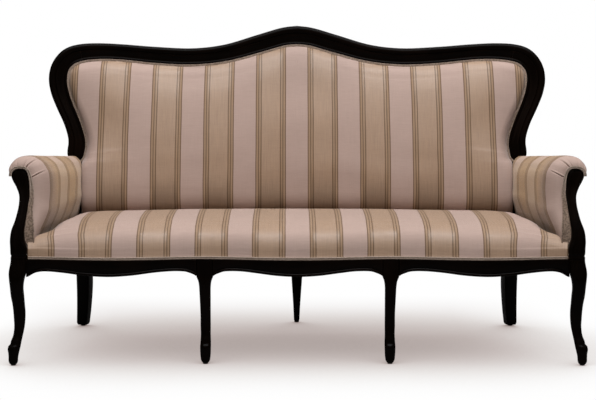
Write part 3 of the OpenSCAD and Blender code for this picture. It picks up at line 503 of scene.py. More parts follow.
def plain_wood(name, light, dark, scale=1.0):
    m, nt, bsdf = new_mat(name)
    b = NB(nt)
    tc = b.n("ShaderNodeTexCoord")
    mp = b.n("ShaderNodeMapping")
    mp.inputs["Scale"].default_value = (6 * scale, 60 * scale, 60 * scale)
    b.link(tc.outputs["Object"], mp.inputs["Vector"])
    g = b.noise(mp.outputs[0], 1.0, 4.0, 0.6)
    ring = b.math("FRACT", b.math("MULTIPLY", g, 5.0))
    f = b.math("ADD", b.math("MULTIPLY", g, 0.6), b.math("MULTIPLY", ring, 0.4))
    b.link(b.mixc(f, light, dark), bsdf.inputs["Base Color"])
    b.link(b.math("ADD", 0.55, b.math("MULTIPLY", g, 0.2)), bsdf.inputs["Roughness"])
    b.link(b.bump(f, 0.25, 0.0004), bsdf.inputs["Normal"])
    return m


def weave_mat(name, c1, c2, pitch, rough=0.85, bump=0.6):
    m, nt, bsdf = new_mat(name)
    b = NB(nt)
    tc = b.n("ShaderNodeTexCoord")
    sep = b.n("ShaderNodeSeparateXYZ")
    b.link(tc.outputs["Object"], sep.inputs[0])
    k = 2 * math.pi / pitch
    w = b.math("MULTIPLY", b.math("SINE", b.math("MULTIPLY", sep.outputs[0], k)),
               b.math("SINE", b.math("MULTIPLY", b.math("ADD", sep.outputs[1], sep.outputs[2]), k)))
    n = b.noise(tc.outputs["Object"], 120.0, 3.0)
    f = b.math("ADD", b.math("MULTIPLY", b.math("ADD", w, 1.0), 0.3), b.math("MULTIPLY", n, 0.5))
    b.link(b.mixc(f, c1, c2), bsdf.inputs["Base Color"])
    bsdf.inputs["Roughness"].default_value = rough
    bsdf.inputs["Specular IOR Level"].default_value = 0.2
    b.link(b.bump(f, bump, pitch * 0.35), bsdf.inputs["Normal"])
    return m


def steel_mat(name, c1, c2, rough):
    m, nt, bsdf = new_mat(name)
    b = NB(nt)
    tc = b.n("ShaderNodeTexCoord")
    n = b.noise(tc.outputs["Object"], 60.0, 4.0, 0.6)
    n2 = b.noise(tc.outputs["Object"], 700.0, 2.0)
    b.link(b.mixc(n, c1, c2), bsdf.inputs["Base Color"])
    bsdf.inputs["Metallic"].default_value = 1.0
    b.link(b.math("ADD", rough, b.math("MULTIPLY", n2, 0.15)), bsdf.inputs["Roughness"])
    b.link(b.bump(n2, 0.15, 0.0002), bsdf.inputs["Normal"])
    return m


def speck_mat(name, c1, c2, scale, rough, bump, dist):
    m, nt, bsdf = new_mat(name)
    b = NB(nt)
    tc = b.n("ShaderNodeTexCoord")
    n = b.noise(tc.outputs["Object"], scale, 4.0, 0.65)
    n2 = b.noise(tc.outputs["Object"], scale * 7, 2.0, 0.6)
    b.link(b.mixc(n, c1, c2), bsdf.inputs["Base Color"])
    b.link(b.math("ADD", rough, b.math("MULTIPLY", b.math("SUBTRACT", n2, 0.5), 0.2)), bsdf.inputs["Roughness"])
    bsdf.inputs["Specular IOR Level"].default_value = 0.35
    b.link(b.bump(b.math("ADD", n2, b.math("MULTIPLY", n, 0.5)), bump, dist), bsdf.inputs["Normal"])
    return m


M_WOOD = show_wood("show_wood_dark")
M_CLOTH = stripe_cloth("cloth_stripe")
M_CLOTH_ARM = stripe_cloth("cloth_stripe_arm", painted_bounce_low_sheen=True)
M_BRAID = braid_cloth("cloth_welt")
M_PINE = plain_wood("wood_frame", (0.62, 0.46, 0.28), (0.40, 0.26, 0.13))
M_BEECH = plain_wood("wood_dowel", (0.66, 0.48, 0.32), (0.48, 0.32, 0.19), 1.6)
M_JUTE = weave_mat("jute_weave", (0.44, 0.33, 0.20), (0.22, 0.15, 0.08), 0.0024)
M_FOAM = speck_mat("padding_foam", (0.80, 0.72, 0.50), (0.66, 0.56, 0.34), 220.0, 0.9, 0.5, 0.0006)
M_SPRING = steel_mat("spring_steel", (0.30, 0.30, 0.31), (0.16, 0.15, 0.15), 0.35)
M_SCREW = steel_mat("screw_steel", (0.62, 0.61, 0.58), (0.42, 0.41, 0.38), 0.28)
M_GLIDE = speck_mat("glide_plastic", (0.012, 0.010, 0.009), (0.025, 0.021, 0.018), 300.0, 0.5, 0.3, 0.0003)
M_DUST = speck_mat("bottom_cloth", (0.012, 0.012, 0.012), (0.026, 0.025, 0.024), 500.0, 0.9, 0.6, 0.0005)

NODE_MAT = {
    "frame_dowels": M_BEECH, "rear_rail": M_PINE, "corner_blocks": M_PINE, "back_tack_rail": M_PINE, "back_uprights": M_PINE,
    "cross_rail_left": M_PINE, "cross_rail_right": M_PINE, "arm_rail_left": M_PINE, "arm_rail_right": M_PINE,
    "arm_tack_rail_left": M_PINE, "arm_tack_rail_right": M_PINE, "glides": M_GLIDE, "glide_nails": M_SCREW,
    "corner_block_screws": M_SCREW, "seat_springs": M_SPRING, "spring_clips": M_SPRING, "spring_tie_wires": M_SPRING,
    "seat_hessian": M_JUTE, "back_hessian": M_JUTE, "back_webbing": M_JUTE, "arm_webbing_left": M_JUTE,
    "arm_webbing_right": M_JUTE, "seat_foam": M_FOAM, "back_foam": M_FOAM, "arm_foam_left": M_FOAM, "arm_foam_right": M_FOAM,
}
for nm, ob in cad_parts.items():
    mt = NODE_MAT.get(nm, M_WOOD)
    ob.data.materials.clear()
    ob.data.materials.append(mt)


def finish_piece(ob, mat, slot, *nodes):
    ob.data.materials.clear()
    ob.data.materials.append(mat)
    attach(ob, "root")
    if nodes:
        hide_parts(*nodes)
    return ob


# ---------------------------------------------------------------- show-wood: crest and stiles
def section(w, k_in=0.0, drop=0.0):
    """Moulded section, from the inner tongue over the front to the outer edge and back behind.
    n is outwards from the middle line, y to the rear (minus is forward)."""
    a = [[-w - 9, 2.5], [-w - 0.4, 2.5], [-w, 1.5], [-w, -7.0]]
    # small inner bead
    for i in range(9):
        th = math.pi + math.pi * i / 8
        a.append([-w + 4.2 + 4.2 * math.cos(th), -9.5 + 3.6 * math.sin(th)])
    a += [[-w + 8.6, -10.6], [-w + 9.4, -9.6]]
    # hollow rising to the outer roll
    x0, x1 = -w + 10.2, 0.16 * w
    for i in range(9):
        f = i / 8
        a.append([mix(x0, x1, f), -9.6 - 7.0 * f * f * (3 - 2 * f) - 0.6 * f])
    a += [[0.16 * w + 1.0, -16.2], [0.16 * w + 2.0, -15.4]]
    # outer roll
    x0 = 0.16 * w + 2.6
    for i in range(17):
        f = i / 16
        th = math.pi * (1.0 - f * 1.02)
        rx = (w - x0) / 2
        a.append([x0 + rx + rx * math.cos(th), -15.0 - 7.0 * max(math.sin(th), -0.2) + 10.0 * max(0, f - 0.62) / 0.38 * (f - 0.55)])
    a += [[w, -8.5], [w, 0], [w, 7.5], [w - 0.8, 10.5], [w - 3.0, 13.6], [0.86 * w - 2, 15.3], [0.4 * w, 16.4], [-0.5 * w, 16.4],
          [-w - 6, 14.6], [-w - 9, 13.0]]
    return np.array(a)


def mould_ring(t, s=1.0, prof=None):
    m, n = mft(t), mnor(t)
    P = section(m[2]) if prof is None else prof
    x = m[0] + P[:, 0] * n[0]
    z = m[1] + P[:, 0] * n[1]
    y = np.array([by(a, c) for a, c in zip(x, z)]) + P[:, 1]
    return np.stack([s * x, y, z], 1)


def wood_attrs(rings, along=None):
    """Grain coordinates for a loft: length along, and distance round the section."""
    R = np.asarray(rings, float)
    m, n = R.shape[:2]
    c = R.mean(1)
    s = np.r_[0, np.cumsum(np.linalg.norm(np.diff(c, axis=0), axis=1))] if along is None else along
    d = np.linalg.norm(np.diff(R, axis=1), axis=2)
    g = np.concatenate([np.zeros((m, 1)), np.cumsum(d, 1)], 1)
    return {"gl": np.repeat(s, n), "gw": g.reshape(-1)}


def wood_piece(name, bodies, nodes, mirror=False, sharp=34):
    """bodies: list of ring stacks. Makes one object with grain attributes."""
    parts, gl, gw = [], [], []
    for R in bodies:
        V, F, _ = loft_obj("", R)
        parts.append((V, F))
        at = wood_attrs(R)
        gl.append(at["gl"] + 137.0 * len(gl))
        gw.append(at["gw"] + 31.0 * len(gw))
    ob = join_parts(name, parts, {"gl": np.concatenate(gl), "gw": np.concatenate(gw)}, sharp, mirror)
    return finish_piece(ob, M_WOOD, "show_wood", *nodes)


NC = 84
crest_rings = [mould_ring(JT * abs(k) / NC, -1.0 if k < 0 else 1.0) for k in range(-NC, NC + 1)]
wood_piece("crest_rail_moulded", [crest_rings], ["crest_rail"])


def stile_rings():
    R = []
    T0 = JT + 0.0002
    ts = list(np.linspace(T0, 17.14 / 18, 118))
    lo, hi = 17.14 / 18, 17.85 / 18
    ts += [mix(lo, hi, math.sin(math.pi / 2 * k / 22)) for k in range(1, 23)]
    for t in ts:
        m = mft(t)
        P = section(m[2]).copy()
        z = m[1]
        if z < 634:
            q = math.sqrt(max(0.0, 1 - ((634 - z) / 28.2) ** 2))
            P[:, 0] = P[:, 0] * max(q, 0.06) * mix(1.0, 28.0 / m[2], sstep(634, 620, z)) - 1.5 * (1 - q)
            fwd = P[:, 1] < 2
            P[fwd, 1] = P[fwd, 1] * (0.5 + 0.5 * q)
        R.append(mould_ring(t, 1.0, P))
    return R


PL = [[0, 772, 135, 169, 19], [60, 764.5, 104, 141, 21], [125, 757, 67, 108, 22.5], [180, 752.5, 38, 81, 23.5], [230, 751, 13, 56, 23],
      [284, 751, -16, 35, 22], [312, 751.5, -18, 26, 22], [340, 752, -18, 22, 22], [440, 755, -18, 22, 22], [520, 760, -18, 22, 22],
      [606, 771, -17, 20, 22]]


def post_c(z):
    r = tab(PL, z)
    return np.array([r[1], by(r[1], max(z, 340)) + (r[2] + r[3]) / 2, z])


def round_rect(c, hx, hy, rad, ang, n=5):
    """Rounded rectangle at height c[2], corner radius rad, turned by ang degrees."""
    pts = []
    for (sx, sy, a0) in ((1, -1, -90), (1, 1, 0), (-1, 1, 90), (-1, -1, 180)):
        for i in range(n + 1):
            a = math.radians(a0 + 90 * i / n)
            pts.append([sx * (hx - rad) + rad * math.cos(a), sy * (hy - rad) + rad * math.sin(a)])
    ca, sa = math.cos(math.radians(ang)), math.sin(math.radians(ang))
    return [[c[0] + p[0] * ca - p[1] * sa, c[1] + p[0] * sa + p[1] * ca, c[2]] for p in pts]


def post_rings():
    R = []
    zs = [GLIDE_H, GLIDE_H + 1.2, GLIDE_H + 4.0, 14] + list(np.linspace(22, 616, 70)) + [622, 627, 630]
    for z in zs:
        r = tab(PL, z)
        k = 1.0
        rad = 4.2
        if z < 14:
            k = 1 - 0.16 * ((14 - z) / 9) ** 1.6
        if z > 600:
            k = 1 - 0.5 * ((z - 600) / 30) ** 2
        q = min(1.0, max(0.0, (440 - z) / 90))
        c = post_c(z)
        c[1] += 9.0 * float(sstep(578, 600, z))
        R.append(round_rect(c, r[4] * k, (r[3] - r[2]) / 2 * k, rad * k, 17.5 * q))
    return R


for sname, mir in (("right", False), ("left", True)):
    wood_piece("back_post_" + sname + "_carved", [stile_rings(), post_rings()], ["back_post_" + sname], mirror=mir)

RC = [[0, 148, 10, 11], [45, 125, 11.5, 13], [105, 95, 14.5, 16], [175, 57, 18.5, 19], [230, 25, 21, 20], [290, -6, 22, 18]]


def rc_y(z):
    return by(0, 340) + tab(RC, z)[1]


rings = []
for z in [GLIDE_H, GLIDE_H + 1.2, GLIDE_H + 4.0, 14] + list(np.linspace(22, RB - 0.4, 40)):
    r = tab(RC, z)
    k = 1 - 0.16 * ((14 - z) / 9) ** 1.6 if z < 14 else 1.0
    rings.append(round_rect([0, rc_y(z), z], r[2] * k, r[3] * k, 3.6, 0))
wood_piece("rear_leg_center_shaped", [rings], ["rear_leg_center"])

# ---------------------------------------------------------------- cabriole front legs
LF = [[0, 912, -362, 13.5, 12.5], [14, 912, -362, 15, 14], [28, 911.5, -361, 15.5, 15], [48, 910, -358, 18, 17], [58, 908, -355, 18.5, 17.5],
      [67, 906, -351, 18, 16.5], [93, 899, -340, 15.4, 15], [119, 894.8, -335, 16.3, 15.5], [145, 893.5, -335, 18, 17], [171, 893.3, -338, 19, 18],
      [197, 894.6, -343, 19.4, 19.5], [223, 896.5, -349, 20.8, 21], [249, 898, -352, 21, 23], [275, 897.5, -352, 23.5, 24], [300, 895, -346, 27, 24],
      [338, 891.5, -338, 25, 22]]
LM = [[0, 297, -338, 12.5, 12.5], [14, 297, -338, 15, 14.5], [28, 297, -337, 16.6, 16], [53, 297, -335, 17.5, 17], [70, 296.5, -330, 17, 16],
      [92, 296.5, -322, 16, 15.5], [120, 297, -316, 16.5, 16], [157, 297, -316, 16.5, 18], [209, 297.5, -323, 17.5, 21], [248, 298, -327, 18.5, 23],
      [268, 298, -326, 21, 24], [285, 298, -323, 27, 24], [340, 298, -321, 28, 22]]


def sup(c, hx, hy, e, n=44, warp=None):
    P = []
    for i in range(n):
        a = 2 * math.pi * (i + 0.5) / n
        ca, sa = math.cos(a), math.sin(a)
        x = hx * math.copysign(abs(ca) ** e, ca)
        y = hy * math.copysign(abs(sa) ** e, sa)
        if warp is not None:
            x, y = warp(x, y, a)
        P.append([c[0] + x, c[1] + y, c[2]])
    return P


def leg_outer_rings():
    R = []
    zs = [GLIDE_H, GLIDE_H + 1.0, GLIDE_H + 3.5, 13] + list(np.linspace(18, 338, 120))
    for z in zs:
        r = tab(LF, z)
        hx, hy = r[3], r[4]
        k = 1 - 0.2 * ((13 - z) / 8) ** 1.6 if z < 13 else 1.0
        e = 0.9 if z < 60 else (mix(0.9, 0.74, min(1, (z - 60) / 40)) if z < 260 else mix(0.74, 0.42, min(1, (z - 260) / 40)))

        def warp(x, y, a, z=z):
            # scroll toe: a lip on the outer and front side that steps in above it
            if 34 < z < 76:
                side = max(0.0, (x - y * 0.75) / 22.0)
                up = 1 - sstep(61, 66, z)
                lip = sstep(36, 56, z) * up * 2.6 - (1 - up) * sstep(80, 66, z) * 2.2
                return x + lip * side * 0.9, y - lip * side * 0.75
            return x, y

        R.append(sup([r[1], r[2], z], hx * k, hy * k, e, 48, warp))
    return R


def leg_mid_rings():
    R = []
    zs = [GLIDE_H, GLIDE_H + 1.0, GLIDE_H + 3.5, 13] + list(np.linspace(18, 340, 110))
    for z in zs:
        r = tab(LM, z)
        k = 1 - 0.2 * ((13 - z) / 8) ** 1.6 if z < 13 else 1.0
        e = 0.9 if z < 60 else (mix(0.9, 0.7, min(1, (z - 60) / 40)) if z < 255 else mix(0.7, 0.32, min(1, (z - 255) / 30)))

        def warp(x, y, a, z=z):
            if 34 < z < 80 and y < 0:
                side = -y / 17.0
                up = 1 - sstep(60, 66, z)
                lip = sstep(36, 54, z) * up * 2.2 - (1 - up) * sstep(84, 66, z) * 1.8
                return x, y - lip * side
            return x, y

        R.append(sup([r[1], r[2], z], r[3] * k, r[4] * k, e, 44, warp))
    return R


# ---------------------------------------------------------------- arm stumps
ST = [[338, -338, 867, 917], [375, -334, 863.5, 918.5], [400, -328, 873, 920], [430, -318, 875, 917], [460, -305, 871, 907], [490, -291, 866.5, 900],
      [515, -280, 862.5, 896.5], [540, -270, 859.5, 897.5], [565, -263, 861.5, 907], [585, -260, 862, 918], [600, -258, 866, 923], [612, -257, 873, 918],
      [621, -256, 887, 906]]


def st(z):
    return tab(ST, z)


def stump_rings():
    R = []
    for z in [338.4, 340, 342] + list(np.linspace(345, 612, 100)) + [615, 617.5, 619.5, 620.6, 621]:
        r = st(z)
        hx = (r[3] - r[2]) / 2
        hy = 20 if z < 600 else 20 - 4.0 * ((z - 600) / 21) ** 2
        # carved neck just above the leg: a narrow V groove
        v = 1 - 0.085 * math.exp(-((z - 352) / 3.2) ** 2)

        def warp(x, y, a, hx=hx, hy=hy):
            # a raised roll along the outer third of the front, with a shallow hollow beside it
            if y < -0.25 * hy:
                f = x / hx
                y = y - 2.0 * math.exp(-((f - 0.62) / 0.2) ** 2) + 2.3 * math.exp(-((f + 0.02) / 0.3) ** 2) - 1.1 * math.exp(-((f + 0.72) / 0.16) ** 2)
            return x, y

        R.append(sup([(r[2] + r[3]) / 2, r[1], z], hx * v, hy * v, 0.52, 56, warp))
    return R


for sname, mir in (("right", False), ("left", True)):
    wood_piece("front_leg_" + sname + "_cabriole", [leg_outer_rings()], ["front_leg_" + sname], mirror=mir)
    wood_piece("front_leg_inner_" + sname + "_cabriole", [leg_mid_rings()], ["front_leg_inner_" + sname], mirror=mir)
    wood_piece("arm_stump_" + sname + "_carved", [stump_rings()], ["arm_stump_" + sname], mirror=mir)

# ---------------------------------------------------------------- seat rails
FE = [[0, 287], [70, 290.5], [147, 299], [190, 302.5], [235, 301], [262, 291.5], [278, 282]]
FO = [[318, 282], [334, 291.5], [360, 300.5], [400, 302.5], [460, 299], [530, 291], [605, 287], [680, 290.5], [750, 298], [810, 301.5],
      [840, 296.5], [868, 282]]


def edge_z(P, x):
    P = np.asarray(P, float)
    return float(tab(P, x)[1])


def rail_ring(x, zlo, yfront, deep):
    """Section of a front rail at x: flat face, bead along the lower edge, rounded top arris. Runs round the section."""
    zt = RAIL_TOP
    f = yfront
    P = [[f + deep, zt], [f + 2.6, zt], [f + 1.0, zt - 0.6], [f + 0.25, zt - 1.8], [f, zt - 3.4]]
    # face, with a fine sunk line above the bead
    b = zlo + 11.0
    P += [[f, mix(zt - 3.4, b + 3.0, 0.5)], [f, b + 3.0], [f + 0.5, b + 1.6], [f + 1.9, b + 0.7], [f + 1.7, b - 0.6]]
    for i in range(7):
        th = math.pi * 0.5 - math.pi * (i + 0.6) / 7.2
        P.append([f + 3.4 - 5.2 * math.cos(th), zlo + 5.4 + 5.2 * math.sin(th)])
    P += [[f + 6.5, zlo], [f + deep - 3, zlo], [f + deep, zlo + 3]]
    return [[x, p[0], p[1]] for p in P]


def rail_piece(name, a, b, P, node, mirror=False, sym=False):
    R = []
    n = 96
    for k in range(n + 1):
        x = mix(a, b, k / n)
        zl = edge_z(P, abs(x) if sym else x)
        R.append(rail_ring(x, min(zl, 306), yf(x), 40))
    wood_piece(name, [R], [node], mirror=mirror)


rail_piece("front_rail_center_shaped", -270.5, 270.5, FE, "front_rail_center", sym=True)
rail_piece("front_rail_right_shaped", 325.5, 868.5, FO, "front_rail_right")
rail_piece("front_rail_left_shaped", 325.5, 868.5, FO, "front_rail_left", mirror=True)

SR_A, SR_B = np.array([893.0, -316.0]), np.array([757.5, 130.5])


def side_rail_rings():
    v = unit(SR_B - SR_A)
    nrm = np.array([-v[1], v[0]])
    if nrm[0] < 0:
        nrm = -nrm
    R = []
    L = np.linalg.norm(SR_B - SR_A)
    for k in range(41):
        s = mix(0.6, L - 0.6, k / 40)
        c = SR_A + v * s
        lift = 7.0 * math.sin(math.pi * k / 40) ** 1.2
        prof = [[-13.6, RB + lift], [9.5, RB + lift], [12.6, RB + lift + 1.2], [13.7, RB + lift + 4.2], [13.0, RB + lift + 8.2], [11.9, RB + lift + 9.4],
                [12.6, RB + lift + 10.6], [13.6, RB + lift + 11.4], [13.8, RB + lift + 14], [13.8, RAIL_TOP - 3], [13.0, RAIL_TOP - 0.8], [11, RAIL_TOP],
                [-13.6, RAIL_TOP]]
        R.append([[c[0] + nrm[0] * p[0], c[1] + nrm[1] * p[0], p[1]] for p in prof])
    return R


for sname, mir in (("right", False), ("left", True)):
    wood_piece("side_rail_" + sname + "_shaped", [side_rail_rings()], ["side_rail_" + sname], mirror=mir)


# ---------------------------------------------------------------- cloth simulation on a grid
def relax_cloth(F, pin, attract=None, frames=20, pressure=2.0, cap=6.0, shrink=-0.02, seed=1, bend=0.6):
    """Runs Blender's cloth on the grid F (m, n, 3) in millimetres with the points in pin held, and gives back the grid.
    A point moves at most cap millimetres."""
    m, n = F.shape[:2]
    me = bpy.data.meshes.new("sim_tmp")
    me.from_pydata((F.reshape(-1, 3) * MM).tolist(), [], quads_grid(m, n))
    me.update()
    ob = bpy.data.objects.new("sim_tmp", me)
    scene.collection.objects.link(ob)
    vg = ob.vertex_groups.new(name="pin")
    w = np.clip(pin.reshape(-1), 0, 1)
    for i in range(len(w)):
        if w[i] > 0:
            vg.add([i], float(w[i]), "REPLACE")
    md = ob.modifiers.new("cloth", "CLOTH")
    st_ = md.settings
    st_.quality = 6
    st_.mass = 0.25
    st_.tension_stiffness = 18
    st_.compression_stiffness = 12
    st_.shear_stiffness = 8
    st_.bending_stiffness = bend
    st_.vertex_group_mass = "pin"
    st_.pin_stiffness = 1.0
    st_.shrink_min = shrink
    st_.use_pressure = True
    st_.uniform_pressure_force = pressure
    st_.effector_weights.gravity = 0.0
    md.collision_settings.use_collision = False
    md.collision_settings.use_self_collision = False
    md.point_cache.frame_start = 1
    md.point_cache.frame_end = frames
    for f in range(1, frames + 1):
        scene.frame_set(f)
    dg = bpy.context.evaluated_depsgraph_get()
    ev = ob.evaluated_get(dg)
    co = np.zeros(len(ev.data.vertices) * 3, np.float32)
    ev.data.vertices.foreach_get("co", co)
    G = co.reshape(m, n, 3).astype(float) / MM
    scene.frame_set(1)
    bpy.data.objects.remove(ob)
    bpy.data.meshes.remove(me)
    D = G - F
    L = np.linalg.norm(D, axis=2, keepdims=True)
    D = D * (cap * np.tanh(L / cap) / np.maximum(L, 1e-9))
    return F + np.nan_to_num(D)


def grid_normals(F):
    du = np.gradient(F, axis=1)
    dv = np.gradient(F, axis=0)
    N = np.cross(du, dv)
    return N / (np.linalg.norm(N, axis=2, keepdims=True) + 1e-9)


# ---------------------------------------------------------------- seat
def ybk(x):
    return by(x, 420) - 74.0


CREASE = [[-360, 350], [-345, 366], [-330, 382], [-322, 389], [-311, 400], [-303, 408], [-291, 419], [-262, 432], [-218, 443], [-112, 445], [0, 444], [80, 440], [160, 434]]


SV = [[0, 0], [0.004, 33], [0.021, 58], [0.05, 79], [0.094, 92], [0.146, 100], [0.23, 105.5], [0.33, 109], [0.48, 110.5], [0.625, 110], [0.756, 106.5],
      [0.875, 100.5], [1, 92.5], [1.1, 84]]


def seat_side(y):
    r = min(1.0, max(0.0, (y + 311) / 61.0))
    return mix(865.0, xin(y) + 8.0, (1 - (1 - r) ** 2.2) ** 0.5)


def spaced(n, dense=0.35, p=2.2):
    """0..1 with points closer together near 0."""
    s = np.linspace(0, 1, n)
    return dense * s + (1 - dense) * s ** p


NU = 280
us = np.linspace(-1, 1, NU)
us = np.sign(us) * (1 - (1 - np.abs(us)) ** 1.3)
pv = np.concatenate([np.linspace(0, 0.02, 300)[:-1], np.linspace(0.02, 1, 900)])
prof = np.stack([pv * 520.0, [RAIL_TOP + 0.6 + max(tab(SV, v)[1], 0) * 114 / 112 for v in pv]], 1)
run = np.r_[0, np.cumsum(np.linalg.norm(np.diff(prof, axis=0), axis=1))]
prof = np.stack([np.interp(np.arange(0, run[-1], 1.0), run, prof[:, c]) for c in (0, 1)], 1)
ker = np.exp(-0.5 * (np.arange(-30, 31) / 9.0) ** 2)
for c in (0, 1):
    ends = np.r_[2 * prof[0, c] - prof[30:0:-1, c], prof[:, c], 2 * prof[-1, c] - prof[-2:-32:-1, c]]
    prof[:, c] = np.convolve(ends, ker / ker.sum(), mode="valid")
prof[:, 0] = np.maximum.accumulate(prof[:, 0] + 0.004 * np.arange(len(prof)))
prof[:, 0] = (prof[:, 0] - prof[0, 0]) / (prof[-1, 0] - prof[0, 0])
n_end = len(prof) - 1
rows_at = np.concatenate([np.linspace(0, 40, 12)[:-1], np.linspace(40, 180, 48)[:-1], np.linspace(180, n_end - 34, 30)[:-1], np.linspace(n_end - 34, n_end, 15)])
vs = np.interp(rows_at, np.arange(n_end + 1), prof[:, 0])
NV = len(vs)
# u -1..1 from arm to arm, v 0..1 from front to back; the edges lie at the level of the crease along the arms
sa = np.abs(us)
s_ya = np.array([yf(u * 862) + 6.5 for u in us])
s_yb = np.array([ybk(u * 745) + 25 for u in us])
s_y = mix(s_ya[None, :], s_yb[None, :], vs[:, None])
s_side = np.interp(s_y, np.arange(-400, 220, 0.5), [seat_side(y) for y in np.arange(-400, 220, 0.5)])
s_zc = np.interp(rows_at, np.arange(n_end + 1), prof[:, 1])[:, None]
s_zs = np.interp(s_y, np.arange(-400, 220, 2.0), [tab(CREASE, y)[1] for y in np.arange(-400, 220, 2.0)])
s_fade = np.minimum(1.0, vs / 0.07)[:, None]
s_d = s_zs - s_zc
s_low = np.where(s_y < -235, 0.5 * (s_d - np.sqrt(s_d ** 2 + 144.0)) * np.minimum(1.0, vs / 0.012)[:, None], np.minimum(s_d, 0))
s_low = mix(s_low, np.minimum(s_d, 0), sstep(-290, -240, s_y))
s_z = s_zc + s_low * (sa ** 7)[None, :] + np.maximum(s_d, 0) * (sa ** 9)[None, :] * s_fade
SEAT = np.stack([us[None, :] * s_side, s_y - 2.0 * np.sin(math.pi * np.minimum(1.0, vs / 0.2))[:, None], s_z], 2)


def arc_len(G, axis):
    """Length along a grid's rows (axis 0) or columns (axis 1), in millimetres."""
    D = np.linalg.norm(np.diff(G, axis=axis), axis=2)
    z = np.zeros((1, G.shape[1])) if axis == 0 else np.zeros((G.shape[0], 1))
    return np.concatenate([z, np.cumsum(D, axis=axis)], axis=axis)


def blur(A, si, sj):
    """Gaussian blur of a grid along both directions, edges repeated."""
    for ax, sg in ((0, si), (1, sj)):
        r = int(3 * sg)
        kn = np.exp(-0.5 * (np.arange(-r, r + 1) / sg) ** 2)
        kn /= kn.sum()
        pad = [(r, r) if a_ == ax else (0, 0) for a_ in (0, 1)]
        A = np.apply_along_axis(lambda c: np.convolve(c, kn, mode="valid"), ax, np.pad(A, pad, mode="edge"))
    return A


def soft_settle(G, edge_u, edge_v, **kw):
    """Relaxes a coarse copy of the grid and puts its displacement on the fine one."""
    m, n = G.shape[:2]
    iu = np.linspace(0, n - 1, min(n, 130)).round().astype(int)
    iv = np.linspace(0, m - 1, min(m, 56)).round().astype(int)
    C = G[np.ix_(iv, iu)]
    cu, cv = np.linspace(0, 1, len(iu)), np.linspace(0, 1, len(iv))
    pin = np.maximum(np.maximum(1 - cu / edge_u, 1 - (1 - cu) / edge_u)[None, :], np.maximum(1 - cv / edge_v, 1 - (1 - cv) / edge_v)[:, None])
    pin = np.where(pin > 0.0, 1.0, 0.0)
    D = relax_cloth(C, pin, **kw) - C
    D = np.stack([blur(D[:, :, c] * (1 - pin), 2.0, 3.0) for c in range(3)], 2) * (1 - pin)[:, :, None]
    fu, fv = np.arange(n), np.arange(m)
    out = np.zeros_like(G)
    for c in range(3):
        rows = np.stack([np.interp(fu, iu, D[i, :, c]) for i in range(len(iv))])
        out[:, :, c] = np.stack([np.interp(fv, iv, rows[:, j]) for j in range(n)], 1)
    return G + out


# seat: rolls down into the crease at the back and at the arms
dv = np.clip((vs - 0.955) / 0.045, 0, None)[:, None]
du = np.clip((np.abs(SEAT[:, :, 0]) - (s_side - 56.0)) / 56.0, 0, None)
SEAT[:, :, 2] -= 15.0 * dv ** 2.2 + 40.0 * du ** 2.2 * sstep(0.08, 0.22, vs)[:, None]
seat_n = smooth_noise((NV, NU), 11, (7, 11))
fade = np.outer(sstep(0, 0.08, vs) * sstep(0, 0.06, 1 - vs), sstep(0, 0.05, 1 - np.abs(us)))
SEAT[:, :, 2] += 2.2 * seat_n * fade
SEAT = soft_settle(SEAT, 0.012, 0.03, frames=18, pressure=1.6, cap=5.0, shrink=-0.012)
# the row of tacks under the welt draws the cloth in a little, every 26 mm
tk = 0.5 + 0.5 * np.cos(2 * math.pi * SEAT[:, :, 0] / 26.0)
SEAT[:, :, 1] += 0.9 * tk * (1 - sstep(342, 356, SEAT[:, :, 2])) * (SEAT[:, :, 1] < -300)
seat_sv = arc_len(SEAT, 0)
seat_su = SEAT[:, :, 0] - np.sign(us)[None, :] * 7.0 * sstep(600, 720, np.abs(SEAT[:, :, 0])) * sstep(0.0, 0.08, vs)[:, None]
UNDER = SEAT.copy()
for i, v in enumerate(vs):
    low = mix(341.0, 355.2, float(sstep(0.0, 0.03, v)))
    UNDER[i, :, 2] = np.minimum(low, SEAT[i, :, 2] - 0.4)
    UNDER[i, :, 0] *= 0.994
    UNDER[i, :, 1] = np.minimum(SEAT[i, :, 1] + 8 * (1 - sstep(0, 0.2, v)) + 2.5, np.maximum(SEAT[-1, :, 1] - 2.0, 0))
V, F = shell_obj(SEAT, UNDER)
# painted shade: the seat's cloth is drawn darker where it rolls down into the crease along the arms
seat_painted_shade = -0.42 * du ** 0.8 * sstep(0.06, 0.20, vs)[:, None]
seat = join_parts("seat_pad_striped", [(V, F)], {"painted_light_shade": np.r_[seat_painted_shade.reshape(-1), seat_painted_shade.reshape(-1)], "su": np.r_[seat_su.reshape(-1), seat_su.reshape(-1)], "sv": np.r_[seat_sv.reshape(-1), seat_sv.reshape(-1)]}, 60)
finish_piece(seat, M_CLOTH, "striped_cloth", "seat_cover", "seat_foam")

# ---------------------------------------------------------------- back
BS = [[733, 402], [733, 460], [733, 520], [733, 570], [733, 620], [733.5, 664], [738.5, 701], [750, 738], [764, 780], [781, 825], [793, 864],
      [798, 895], [793, 921], [780, 938]]
TC = 8.45 / 18


def coons_grid(us_, vs_, S, top, half, low):
    """Field between the centre line, the side line S, a level lower edge and the top edge; x and z over the grid."""
    A = np.abs(us_)[None, :, None]
    V_ = np.asarray(vs_)[:, None, None]
    T = np.array([top(TC * abs(u)) for u in us_])[None, :, :]
    Sv = np.array([sp(S, v) for v in vs_])[:, None, :]
    T0, T1 = top(0.0), top(TC)
    zc = low + (T0[1] - low) * V_[:, :, 0]
    C = np.stack([np.zeros_like(zc), zc], 2)
    B = np.concatenate([half * A, np.full_like(A, low)], 2)
    S0 = np.array(S[0], float)
    P = (1 - V_) * B + V_ * T + (1 - A) * C + A * Sv - ((1 - A) * (1 - V_) * np.array([0, low]) + A * (1 - V_) * S0 + (1 - A) * V_ * T0 + A * V_ * T1)
    P[:, :, 0] *= np.sign(us_)[None, :]
    return P[:, :, 0], P[:, :, 1]


